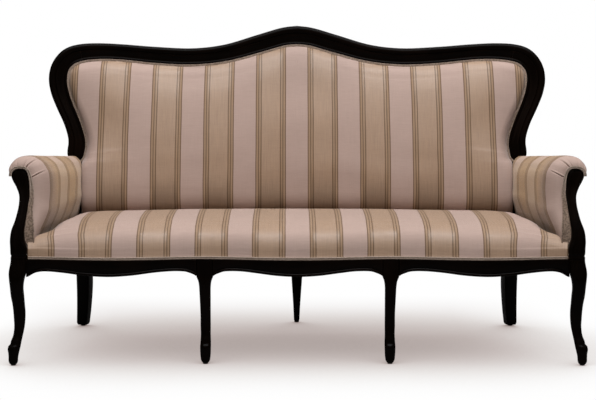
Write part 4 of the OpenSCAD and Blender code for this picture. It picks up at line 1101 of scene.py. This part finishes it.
def by_grid(x, z):
    return 230 + 0.19 * (z - 420) - 0.000117 * x * x


# the wood's inner edge with room for the welt, right half, round the end of the stile
TIP = np.array([775.5, 634.0])
TIP_R = 28.0


def tip_arc(deg, r):
    a_ = math.radians(deg)
    return np.array([TIP[0] - r * math.cos(a_), TIP[1] - r * math.sin(a_)])


T_LOW = 17.12 / 18
GAP = 7.6
WOOD_EDGE = np.array([inner(t, GAP) for t in np.linspace(0, T_LOW, 260)] + [tip_arc(d, TIP_R + GAP) for d in range(0, 100, 6)])
SIDE = [[750, 402], [749.6, 432], [749.4, 462], [749, 492], [749, 522], [749, 550], [749.4, 574], [751.2, 593], [752.6, 603.5]]
SIDE += [list(tip_arc(d, TIP_R + GAP)) for d in (46, 26, 4)]
SIDE += [list(inner(t, GAP)) for t in np.linspace(16.75 / 18, TC, 11)]


def edge_gap(X, Z):
    """Distance from the points of the field to the wood's inner edge."""
    x, z = np.abs(X).reshape(-1), Z.reshape(-1)
    out = np.empty(len(x))
    for k in range(0, len(x), 4000):
        d = (x[k:k + 4000, None] - WOOD_EDGE[None, :, 0]) ** 2 + (z[k:k + 4000, None] - WOOD_EDGE[None, :, 1]) ** 2
        out[k:k + 4000] = np.sqrt(d.min(1))
    return out.reshape(X.shape)


def round_up(s_):
    q = np.clip(s_, 0, 1)
    return np.sqrt(np.clip(1 - (1 - q) ** 2, 0, None))


def pad_depth(X, Z):
    """How far the padding stands in front of the frame's face."""
    g = edge_gap(X, Z)
    swell = 1 - (1 - np.clip(g / 340.0, 0, 1)) ** 2
    low = sstep(790, 560, Z) * round_up(g / 70.0)
    soft = blur(swell + (1 - swell) * low, 8.0, 8.0)
    d = 7 + 24 * round_up(g / 30.0) + 39 * soft
    # soft edge against the arm
    d -= 15 * (1 - round_up((751.5 - np.abs(X)) / 26.0)) * sstep(640, 590, Z)
    # rolls under, into the crease
    return d - np.minimum(34.0, 22.0 * (np.clip(517 - Z, 0, None) / 79.0) ** 3.0)


MU, MV = 281, 150
ub = np.linspace(-1, 1, MU)
ub = np.sign(ub) * (1 - (1 - np.abs(ub)) ** 1.35)
vb = 1 - np.linspace(1, 0, MV) ** 1.2
BX, BZ = coons_grid(ub, vb, SIDE, lambda t: inner(t, GAP), SIDE[0][0], 402)
BACK = np.stack([BX, by_grid(BX, BZ) - pad_depth(BX, BZ), BZ], 2)
back_n = smooth_noise((MV, MU), 23, (9, 14))
bf = np.outer(sstep(0, 0.06, 1 - vb), sstep(0, 0.05, 1 - np.abs(ub)))
BACK[:, :, 1] += 2.4 * back_n * bf
BACK = soft_settle(BACK, 0.012, 0.02, frames=18, pressure=1.4, cap=4.5, shrink=-0.010)
back_sv = arc_len(BACK, 0)
# the cloth's lines stay nearly upright, leaning in a little towards the top
back_su = BACK[:, :, 0] / (0.998 - 0.013 * (np.clip(BACK[:, :, 2] - 440, 0, None) / 500) ** 2)
REAR = BACK.copy()
REAR[:, :, 1] = np.array([[by(p[0], p[2]) - (19.6 if abs(p[0]) > 724 and p[2] < 606 else 1.6) for p in row] for row in BACK])
REAR[:, :, 1] = np.maximum(REAR[:, :, 1], BACK[:, :, 1] + 0.6)
wing = (REAR[:, :, 2] < 606) & (np.abs(REAR[:, :, 0]) > 744)
REAR[:, :, 0] = np.where(wing, np.sign(REAR[:, :, 0]) * 746.0, REAR[:, :, 0])
V, F = shell_obj(BACK, REAR)
# painted shade: darker beside the arms low down, and under the crest in the middle of the top
back_painted_shade = -0.30 * np.exp(-np.clip(750 - np.abs(BACK[:, :, 0]), 0, None) / 42.0) * sstep(650, 540, BACK[:, :, 2])
back_painted_shade = back_painted_shade - 0.12 * np.exp(-(BACK[:, :, 0] / 330.0) ** 2) * sstep(820, 950, BACK[:, :, 2])
# painted shade on the satin stripe, darker towards the bottom of the back
back_lb = -0.30 * sstep(575, 470, BACK[:, :, 2])
back = join_parts("back_pad_striped", [(V, F)], {"painted_light_shade": np.r_[back_painted_shade.reshape(-1), back_painted_shade.reshape(-1)], "lb": np.r_[back_lb.reshape(-1), back_lb.reshape(-1)], "su": np.r_[back_su.reshape(-1), back_su.reshape(-1)], "sv": np.r_[back_sv.reshape(-1), back_sv.reshape(-1)]}, 60)
finish_piece(back, M_CLOTH, "striped_cloth", "back_cover", "back_foam")

# ---------------------------------------------------------------- arms
AS = [[853, -316, 344], [846.5, -318, 400], [849, -312, 450], [853.5, -296, 500], [852, -284, 545], [857, -278, 585], [862, -275, 606],
      [870, -274, 621], [889, -273, 626], [907, -273, 624.5], [921, -274, 615], [925, -275, 606], [920, -274, 598]]
AY = [120.4, 0.19]


def arm_profile(y):
    a, b, zt = xin(y), xout(y), ztop(y)
    w = b - a
    # the pad rolls under at the seat and away at the back
    g = 4.0 * (np.clip(np.asarray(y, float) - 72, 0, 60) / 50.0) ** 2
    return [[a + 26, 344], [a + 23, 400], [a + 8 + g, 442], [a - 2 + g, 486], [a - 1 + g, 520], [a + g, zt - 66], [a + 0.08 * w + 0.8 * g, zt - 36],
            [a + 0.21 * w + 0.4 * g, zt - 16], [a + 0.46 * w, zt], [b - 26, zt - 3], [b - 8, zt - 18], [b, zt - 38], [b - 11, zt - 57]]


AK, AVN = 290, 110
ks = np.linspace(0, 1, AK)
va = spaced(AVN, 0.30, 1.9)
# k 0..1 across the arm from the seat over the roll, v 0..1 from front to back
AW = np.array([sp(np.eye(13).tolist(), k) for k in ks])
AE = np.array([sp(AS, k) for k in ks])
a_end = AY[0] + AY[1] * (np.array([sp(arm_profile(0.0), k)[1] for k in ks]) - 350)
a_y = mix((AE[:, 1] + 3.0)[None, :], a_end[None, :], va[:, None])
a_q = np.sqrt(np.clip(1 - np.clip(1 - va / 0.14, 0, None) ** 2.2, 0, None))[:, None]
a_p = arm_profile(a_y)
a_x = sum(AW[None, :, j] * a_p[j][0] for j in range(13))
a_z = sum(AW[None, :, j] * a_p[j][1] for j in range(13))
ARM = np.stack([mix(AE[None, :, 0], a_x, a_q), a_y, mix(AE[None, :, 2], a_z, a_q)], 2)
N = grid_normals(ARM)
if N[AVN // 2, 10, 0] > 0:      # the normal points towards the seat on the inner face
    N = -N
arm_n = smooth_noise((AVN, AK), 31, (9, 8))
ARM += N * (1.3 * arm_n * np.outer(sstep(0, 0.08, va), sstep(0, 0.05, ks) * sstep(0, 0.05, 1 - ks)))[:, :, None]
# pleats that take in the cloth round the end of the roll
for k0, dep, wid, ln, tilt in ((0.452, 3.4, 0.0062, 0.066, 0.010), (0.620, 3.8, 0.0062, 0.068, -0.010),
                               (0.655, 1.4, 0.006, 0.060, 0.006), (0.735, 1.4, 0.007, 0.055, 0.008), (0.815, 1.2, 0.007, 0.05, 0.008)):
    off = ks[None, :] - (k0 + tilt * va[:, None] / ln)
    g = -dep * np.exp(-(off / wid) ** 2) + 0.45 * dep * np.exp(-((off - 2.2 * wid) / (1.3 * wid)) ** 2)
    ARM += N * (g * (np.clip(1 - va[:, None] / ln, 0, 1) ** 0.8))[:, :, None]
ARM_IN = ARM - N * 3.0
y2s = ARM[:, :, 1]
z2 = ARM[:, :, 2]
inner_face = sstep(0.44, 0.40, ks)[None, :]
shift = -50.0 * (np.clip(560 - z2, 0, 125) / 120.0) ** 1.6 * inner_face
# the stripes are counted along the cloth, with one group of lines where the rounded front end runs out
arm_run = np.concatenate([np.zeros((1, AK)), np.cumsum(np.linalg.norm(np.diff(ARM, axis=0), axis=2), axis=0)])
arm_run -= np.array([np.interp(-220.0, y2s[:, j], arm_run[:, j]) for j in range(AK)])[None, :]
arm_su = 48.5 + 0.95 * (arm_run - shift)
arm_sv = arc_len(ARM, 1)
# painted light on the arm's cloth: lighter on the upper rear of the inner face and on the top and outer side behind the
# front end, and a painted warm bounce tint, more on the inner face, towards the corner with the back
arm_painted_light = 0.22 * sstep(480, 560, z2) * sstep(-225, -150, y2s) * (1 - sstep(0.42, 0.55, ks)[None, :])
arm_painted_light = arm_painted_light + 0.10 * sstep(0.44, 0.58, ks)[None, :] * sstep(-235, -150, y2s)
arm_painted_warm_bounce = sstep(-225, -120, y2s) * (1 - 0.65 * sstep(0.42, 0.62, ks)[None, :])
for sname, mir in (("right", False), ("left", True)):
    V, F = shell_obj(ARM, ARM_IN)
    arm_painted_light_pts = np.r_[arm_painted_light.reshape(-1), arm_painted_light.reshape(-1)]
    arm = join_parts("arm_" + sname + "_striped", [(V, F)], {"painted_light_shade": arm_painted_light_pts, "su": np.r_[arm_su.reshape(-1), arm_su.reshape(-1)], "sv": np.r_[arm_sv.reshape(-1), arm_sv.reshape(-1)],
                                                             "painted_warm_bounce": np.r_[arm_painted_warm_bounce.reshape(-1), arm_painted_warm_bounce.reshape(-1)]}, 60, mirror=mir)
    finish_piece(arm, M_CLOTH_ARM, "striped_cloth", "arm_cover_" + sname, "arm_foam_" + sname)


# ---------------------------------------------------------------- outer panels
PC = [[400, 912], [460, 908], [490, 898.5], [515, 894.5], [535, 895], [550, 901], [575, 920]]


def waist(x, y, z):
    if z < 400:
        return x
    c = tab(PC, z)[1] + 0.16 * (y + 267)
    return min(x, c) - 1.5 * math.exp(-abs(x - c) / 6.0)


def panel_grid(nz, ny):
    G = np.zeros((nz, ny, 3))
    for i in range(nz):
        q = i / (nz - 1)
        for j in range(ny):
            v = j / (ny - 1)
            z = mix(RAIL_TOP + 1, ztop(mix(-300, 150, v)) - 60.0, q)
            ys = st(z)[1] + 20.6
            ye = 121.6 + 0.19 * (z - 350)
            y = mix(ys, ye, v)
            xa, xb = 908 - 0.3 * (y + 316), 911.4 - 0.2871 * (y + 237.5)
            x = waist(mix(xa, xb, min(1.0, (z - 340) / 180)), y, z)
            G[i, j] = [x, y, z]
    return G


PG = panel_grid(60, 110)
pn = smooth_noise(PG.shape[:2], 41, (8, 10))
ff = np.outer(sstep(0, 0.1, np.linspace(0, 1, 60)) * sstep(0, 0.1, np.linspace(1, 0, 60)), sstep(0, 0.06, np.linspace(0, 1, 110)) * sstep(0, 0.06, np.linspace(1, 0, 110)))
PG[:, :, 0] += (1.2 * pn - 1.2) * ff
PGI = PG.copy()
PGI[:, :, 0] -= 2.2
pg_su = 48.5 + (PG[:, :, 1] + 133) * 1.17
pg_sv = PG[:, :, 2]
AREA = {}


def grid_area(G):
    a, b, c, d = G[:-1, :-1], G[1:, :-1], G[1:, 1:], G[:-1, 1:]
    return 0.5 * (np.linalg.norm(np.cross(b - a, c - a), axis=2) + np.linalg.norm(np.cross(c - a, d - a), axis=2)).sum() * 1e-6


for sname, mir in (("right", False), ("left", True)):
    V, F = shell_obj(PG, PGI)
    pan = join_parts("outside_arm_" + sname + "_cloth", [(V, F)], {"su": np.r_[pg_su.reshape(-1), pg_su.reshape(-1)], "sv": np.r_[pg_sv.reshape(-1), pg_sv.reshape(-1)]},
                     60, mirror=mir)
    finish_piece(pan, M_CLOTH, "striped_cloth", "outside_arm_panel_" + sname)
    AREA[pan.name] = grid_area(PG)

OS = [[720, 292], [724, 340], [729, 400], [733, 500], [742, 590], [748, 650], [751, 706], [766, 760], [790, 812], [806, 858], [812, 895],
      [808, 925], [791, 948]]


def ob_y(x, z, o):
    return by(x, max(z, 320)) + o - 9.2 * min(1.0, max(0.0, (359 - z) / 25))


OU, OVN = 201, 110
uo = np.linspace(-1, 1, OU)
vo = np.linspace(0, 1, OVN)
OX, OZ = coons_grid(uo, vo, OS, lambda t: inner(t, -7), 720, 292)
OB = np.stack([OX, 20.4 + by_grid(OX, np.maximum(OZ, 320)) - 9.2 * np.clip((359 - OZ) / 25, 0, 1), OZ], 2)
on = smooth_noise((OVN, OU), 53, (10, 14))
of_ = np.outer(sstep(0, 0.08, vo) * sstep(0, 0.06, 1 - vo), sstep(0, 0.05, 1 - np.abs(uo)))
OB[:, :, 1] += (0.9 * on - 0.6) * of_
OBI = OB.copy()
OBI[:, :, 1] -= 2.2
ob_su, ob_sv = OB[:, :, 0], OB[:, :, 2]
V, F = shell_obj(OB, OBI)
outb = join_parts("outside_back_cloth", [(V, F)], {"su": np.r_[ob_su.reshape(-1), ob_su.reshape(-1)], "sv": np.r_[ob_sv.reshape(-1), ob_sv.reshape(-1)]}, 60)
finish_piece(outb, M_CLOTH, "striped_cloth", "outside_back_panel")
AREA[outb.name] = grid_area(OB)

# bottom cloth
DN, DM = 181, 60
DV = [[0, 303.2], [0.1, 297], [0.25, 290], [0.5, 286.5], [0.8, 286.8], [1, RB - 1.8]]
DG = np.zeros((DM, DN, 3))
for i in range(DM):
    v = i / (DM - 1)
    z = float(np.interp(v, [r[0] for r in DV], [r[1] for r in DV]))
    for j in range(DN):
        u = -1 + 2 * j / (DN - 1)
        xa, xb = u * 842, u * 723
        ya = max(yf(xa) + 41.5, -297.2 if abs(abs(xa) - 298) < 50 else -400)
        yb = by(xb, 320) + 2 - 1.0
        x, y = mix(xa, xb, v), mix(ya, yb, v)
        DG[i, j] = [x, y, z]
dn = smooth_noise((DM, DN), 61, (4, 6))
DG[:, :, 2] += 1.0 * dn * np.outer(sstep(0, 0.1, np.linspace(0, 1, DM)) * sstep(0, 0.1, np.linspace(1, 0, DM)), np.ones(DN)) + 0.3
notch_y = rc_y(283) - 21.5
DG[:, :, 1] = np.where(np.abs(DG[:, :, 0]) < 24, np.minimum(DG[:, :, 1], notch_y), DG[:, :, 1])
DGI = DG.copy()
DGI[:, :, 2] += 1.0
V, F = shell_obj(DG, DGI)
dust = join_parts("bottom_cloth_black", [(V, F)], None, 60)
finish_piece(dust, M_DUST, "bottom_cloth", "dust_cover")
AREA[dust.name] = grid_area(DG)


# ---------------------------------------------------------------- double welts
def welt(name, P, side_dir, out_dir, r, sep, nodes, mirror=False, wob=0.25, dark=0.0):
    """Two cords side by side on a narrow tape. side_dir and out_dir give, per point, across and outwards."""
    P = np.asarray(P, float)
    S, O = np.asarray(side_dir, float), np.asarray(out_dir, float)
    sep = np.broadcast_to(np.asarray(sep, float).reshape(-1, 1), (len(P), 1))
    rng = np.random.default_rng(len(P))
    w = np.convolve(rng.standard_normal(len(P)), np.ones(7) / 7, mode="same") * wob
    parts, ga, gs = [], [], []
    L = np.r_[0, np.cumsum(np.linalg.norm(np.diff(P, axis=0), axis=1))]
    k = 12
    for sgn in (-1, 1):
        C = P + S * (sgn * sep / 2 + w[:, None] * 0.3) + O * (w[:, None] * 0.4)
        V, F = tube(C, r, k)
        parts.append((V, F))
        ga.append(np.tile(np.arange(k) * 2 * math.pi / k, len(P)) * 1.0)
        gs.append(np.repeat(L, k) + (0 if sgn < 0 else 1.3))
    # tape between and behind them
    T = P - O * (r * 0.55)
    tape = np.stack([T - S * (sep / 2 + r * 0.75), T + S * (sep / 2 + r * 0.75)], 1)
    V, F = shell_obj(tape, tape - O[:, None, :] * 1.2)
    parts.append((V, F))
    ga.append(np.zeros(len(V)))
    gs.append(np.r_[np.repeat(L, 2), np.repeat(L, 2)])
    dark = np.broadcast_to(np.asarray(dark, float), (len(P),))
    dk = np.concatenate([np.repeat(dark, k), np.repeat(dark, k), np.repeat(dark, 2), np.repeat(dark, 2)])
    ob = join_parts(name, parts, {"ga": np.concatenate(ga), "gs": np.concatenate(gs), "dk": dk}, 60, mirror)
    finish_piece(ob, M_BRAID, "gimp", *nodes)
    return ob


def path_frames(P, out):
    """Across direction for each point of a path, square to the path and to out."""
    P = np.asarray(P, float)
    T = np.gradient(P, axis=0)
    T /= np.linalg.norm(T, axis=1, keepdims=True)
    O = np.tile(np.asarray(out, float), (len(P), 1)) if np.ndim(out) == 1 else np.asarray(out, float)
    S = np.cross(T, O)
    S /= np.linalg.norm(S, axis=1, keepdims=True)
    return S, O


P = resample([[x, yf(x) + 3.2, RAIL_TOP + 5.0] for x in np.linspace(-862, 862, 240)], 5.0)
S, O = path_frames(P, [0, -1, 0])
welt("welt_seat_front", P, S, O, 2.45, 4.8, ["gimp_seat_front"])

pts = []
for k in np.linspace(1.3 / 24, 1.0, 156):
    p, q = sp(AS, k), st(min(sp(AS, k)[2], 600))
    kk = k * 24
    top = 3.2 * float(sstep(13, 15, kk) * sstep(22.5, 20.5, kk))
    xi = p[0] - 0.6
    xo = max(xi + 4.6, q[2] + 0.6) if kk < 12 else xi + 4.6
    x = (xi + xo) / 2 - 1.8 * float(sstep(5, 9, kk)) if kk < 13 else p[0] + 2.0 * float(sstep(20, 22, kk))
    pts.append([x, p[1] - 2.6, p[2] + top, xo - xi])
PA = np.asarray(pts)
step = np.r_[0, np.cumsum(np.linalg.norm(np.diff(PA[:, :3], axis=0), axis=1))]
even = np.arange(0, step[-1], 3.5)
PA = np.stack([np.interp(even, step, PA[:, c]) for c in range(4)], 1)
for c in (0, 3):
    PA[:, c] = np.convolve(np.pad(PA[:, c], 4, mode="edge"), np.ones(9) / 9, mode="valid")
gap_w, PA = PA[:, 3], PA[:, :3]
S, O = path_frames(PA, [0, -1, 0])
for sname, mir in (("right", False), ("left", True)):
    welt("welt_arm_" + sname, PA, S, O, 2.3, gap_w, ["gimp_arm_" + sname], mirror=mir, dark=sstep(590, 500, PA[:, 2]))

half = [list(tip_arc(d, TIP_R + 4.2)) for d in (84, 74, 64, 54, 44, 34, 24, 14, 4)]
for k in range(60):
    half.append(list(inner(mix(17.0 / 18, 0.0, k / 59), 4.2)))
half = [[p[0], by(p[0], p[1]) - 13.5, p[1]] for p in half]
full = half + [[-p[0], p[1], p[2]] for p in half[-2::-1]]
PB = resample(full, 4.0)
S, O = path_frames(PB, [0, -1, 0])
welt("welt_back_inside", PB, S, O, 1.8, 3.6, ["gimp_back_inside"], dark=0.45)

half = []
for v in np.linspace(0, 1, 60):
    p = sp(OS, v)
    half.append([p[0] - 3, ob_y(p[0], p[1], 23.2), p[1]])
for k in range(1, 40):
    p = inner(TC * (1 - k / 39), -4)
    half.append([p[0], ob_y(p[0], p[1], 23.2), p[1]])
full = half + [[-p[0], p[1], p[2]] for p in half[-2::-1]]
PO = resample(full, 5.0)
S, O = path_frames(PO, [0, 1, 0])
welt("welt_back_outside", PO, S, O, 2.1, 4.3, ["gimp_back_outside"])

# ---------------------------------------------------------------- floor, light, camera
cam_data = bpy.data.cameras.new("cam")
cam = bpy.data.objects.new("cam", cam_data)
scene.collection.objects.link(cam)
cam.location = (-0.030, -5.375, 1.116)
cam.rotation_euler = (math.radians(90 - 6.63), 0, 0)
cam_data.sensor_fit = "HORIZONTAL"
cam_data.sensor_width = 36
cam_data.lens = 96.22
cam_data.shift_x = 0.01604
cam_data.shift_y = 0.0
cam_data.clip_end = 60
scene.camera = cam

me = bpy.data.meshes.new("floor")
me.from_pydata([(-14, -8, 0), (14, -8, 0), (14, 9, 0), (-14, 9, 0)], [], [[0, 1, 2, 3]])
floor = bpy.data.objects.new("floor", me)
scene.collection.objects.link(floor)
m, nt, bsdf = new_mat("floor_paper")
b = NB(nt)
tc = b.n("ShaderNodeTexCoord")
fn = b.noise(tc.outputs["Object"], 3.0, 3.0)
b.link(b.mixc(fn, (0.30, 0.29, 0.285), (0.34, 0.33, 0.325)), bsdf.inputs["Base Color"])
bsdf.inputs["Roughness"].default_value = 0.6
# white studio sweep: its own even brightness, with the soft shade of what stands on it
ao = b.n("ShaderNodeAmbientOcclusion")
ao.samples = 24
ao.inputs["Distance"].default_value = 0.62
shade = b.ramp(ao.outputs["AO"], [(0.0, (0.20, 0.155, 0.142)), (0.25, (0.40, 0.342, 0.324)), (0.5, (0.60, 0.540, 0.522)), (0.78, (0.855, 0.832, 0.818)), (0.935, (1.0, 1.0, 1.0))])
sepf = b.n("ShaderNodeSeparateXYZ")
b.link(tc.outputs["Object"], sepf.inputs[0])
yy = b.math("MULTIPLY", b.math("ADD", sepf.outputs[1], 1.0), 0.5)
# painted shadow: a band of shade on the floor under and behind the sofa, within its width, fading towards the ends
behind = b.ramp(yy, [(0.40, (0, 0, 0)), (0.48, (0.30, 0.30, 0.30)), (0.555, (0.84, 0.84, 0.84)), (0.635, (1, 1, 1)), (0.72, (0.86, 0.86, 0.86)), (0.81, (0.60, 0.60, 0.60)), (0.90, (0.16, 0.16, 0.16)), (0.96, (0, 0, 0))])
ends = b.math("MULTIPLY", b.math("SUBTRACT", 1.02, b.math("ABSOLUTE", b.math("ADD", sepf.outputs[0], 0.05))), 2.6, clamp=True)
shade = b.mixc(b.math("MULTIPLY", behind, ends), shade, b.mixc(1.0, shade, (0.83, 0.80, 0.79), "MULTIPLY"))
em = b.n("ShaderNodeEmission")
b.link(shade, em.inputs["Color"])
em.inputs["Strength"].default_value = 1.0
lpf = b.n("ShaderNodeLightPath")
mf = b.n("ShaderNodeMixShader")
outf = [n_ for n_ in nt.nodes if n_.bl_idname == "ShaderNodeOutputMaterial"][0]
b.link(lpf.outputs["Is Camera Ray"], mf.inputs[0])
b.link(bsdf.outputs[0], mf.inputs[1])
b.link(em.outputs[0], mf.inputs[2])
b.link(mf.outputs[0], outf.inputs[0])
floor.data.materials.append(m)

world = bpy.data.worlds.new("studio")
scene.world = world
world.use_nodes = True
nt = world.node_tree
for n_ in list(nt.nodes):
    nt.nodes.remove(n_)
b = NB(nt)
wout = b.n("ShaderNodeOutputWorld")
bg_cam = b.n("ShaderNodeBackground")
bg_cam.inputs[0].default_value = (1, 1, 1, 1)
bg_cam.inputs[1].default_value = 1.0
bg_fill = b.n("ShaderNodeBackground")
tcw = b.n("ShaderNodeTexCoord")
sepw = b.n("ShaderNodeSeparateXYZ")
b.link(tcw.outputs["Generated"], sepw.inputs[0])
grad = b.ramp(b.math("ADD", b.math("MULTIPLY", sepw.outputs[2], 0.5), 0.5), [(0.0, (0.11, 0.095, 0.08)), (0.5, (0.11, 0.098, 0.084)), (0.68, (0.36, 0.30, 0.24)), (1.0, (0.98, 1.0, 1.03))])
b.link(grad, bg_fill.inputs[0])
bg_fill.inputs[1].default_value = 0.34
lp = b.n("ShaderNodeLightPath")
mixw = b.n("ShaderNodeMixShader")
b.link(lp.outputs["Is Camera Ray"], mixw.inputs[0])
b.link(bg_fill.outputs[0], mixw.inputs[1])
b.link(bg_cam.outputs[0], mixw.inputs[2])
b.link(mixw.outputs[0], wout.inputs[0])


def area_light(name, loc, target, size, power, colour=(1, 1, 1), size_y=None):
    ld = bpy.data.lights.new(name, "AREA")
    ld.shape = "RECTANGLE"
    ld.size = size
    ld.size_y = size_y or size
    ld.energy = power
    ld.color = colour
    ob = bpy.data.objects.new(name, ld)
    scene.collection.objects.link(ob)
    ob.location = loc
    d = np.array(target, float) - np.array(loc, float)
    yaw = math.atan2(d[0], d[1])
    pitch = math.atan2(d[2], math.hypot(d[0], d[1]))
    ob.rotation_euler = (math.pi / 2 + pitch, 0, -yaw)
    return ob


area_light("key_front_high", (0.12, -1.16, 4.13), (0, 0.0, 0.62), 3.4, 229, (0.975, 1.0, 1.04), 2.0)
area_light("rear_rim", (0.0, 3.4, 3.0), (0, 0.2, 0.6), 3.0, 45, (1.0, 1.0, 1.0), 1.6)
scene.view_settings.view_transform = "Standard"
scene.view_settings.look = "None"
scene.view_settings.exposure = 0.0
scene.view_settings.gamma = 1.0

print("cloth areas", {k: round(float(v), 4) for k, v in AREA.items()})
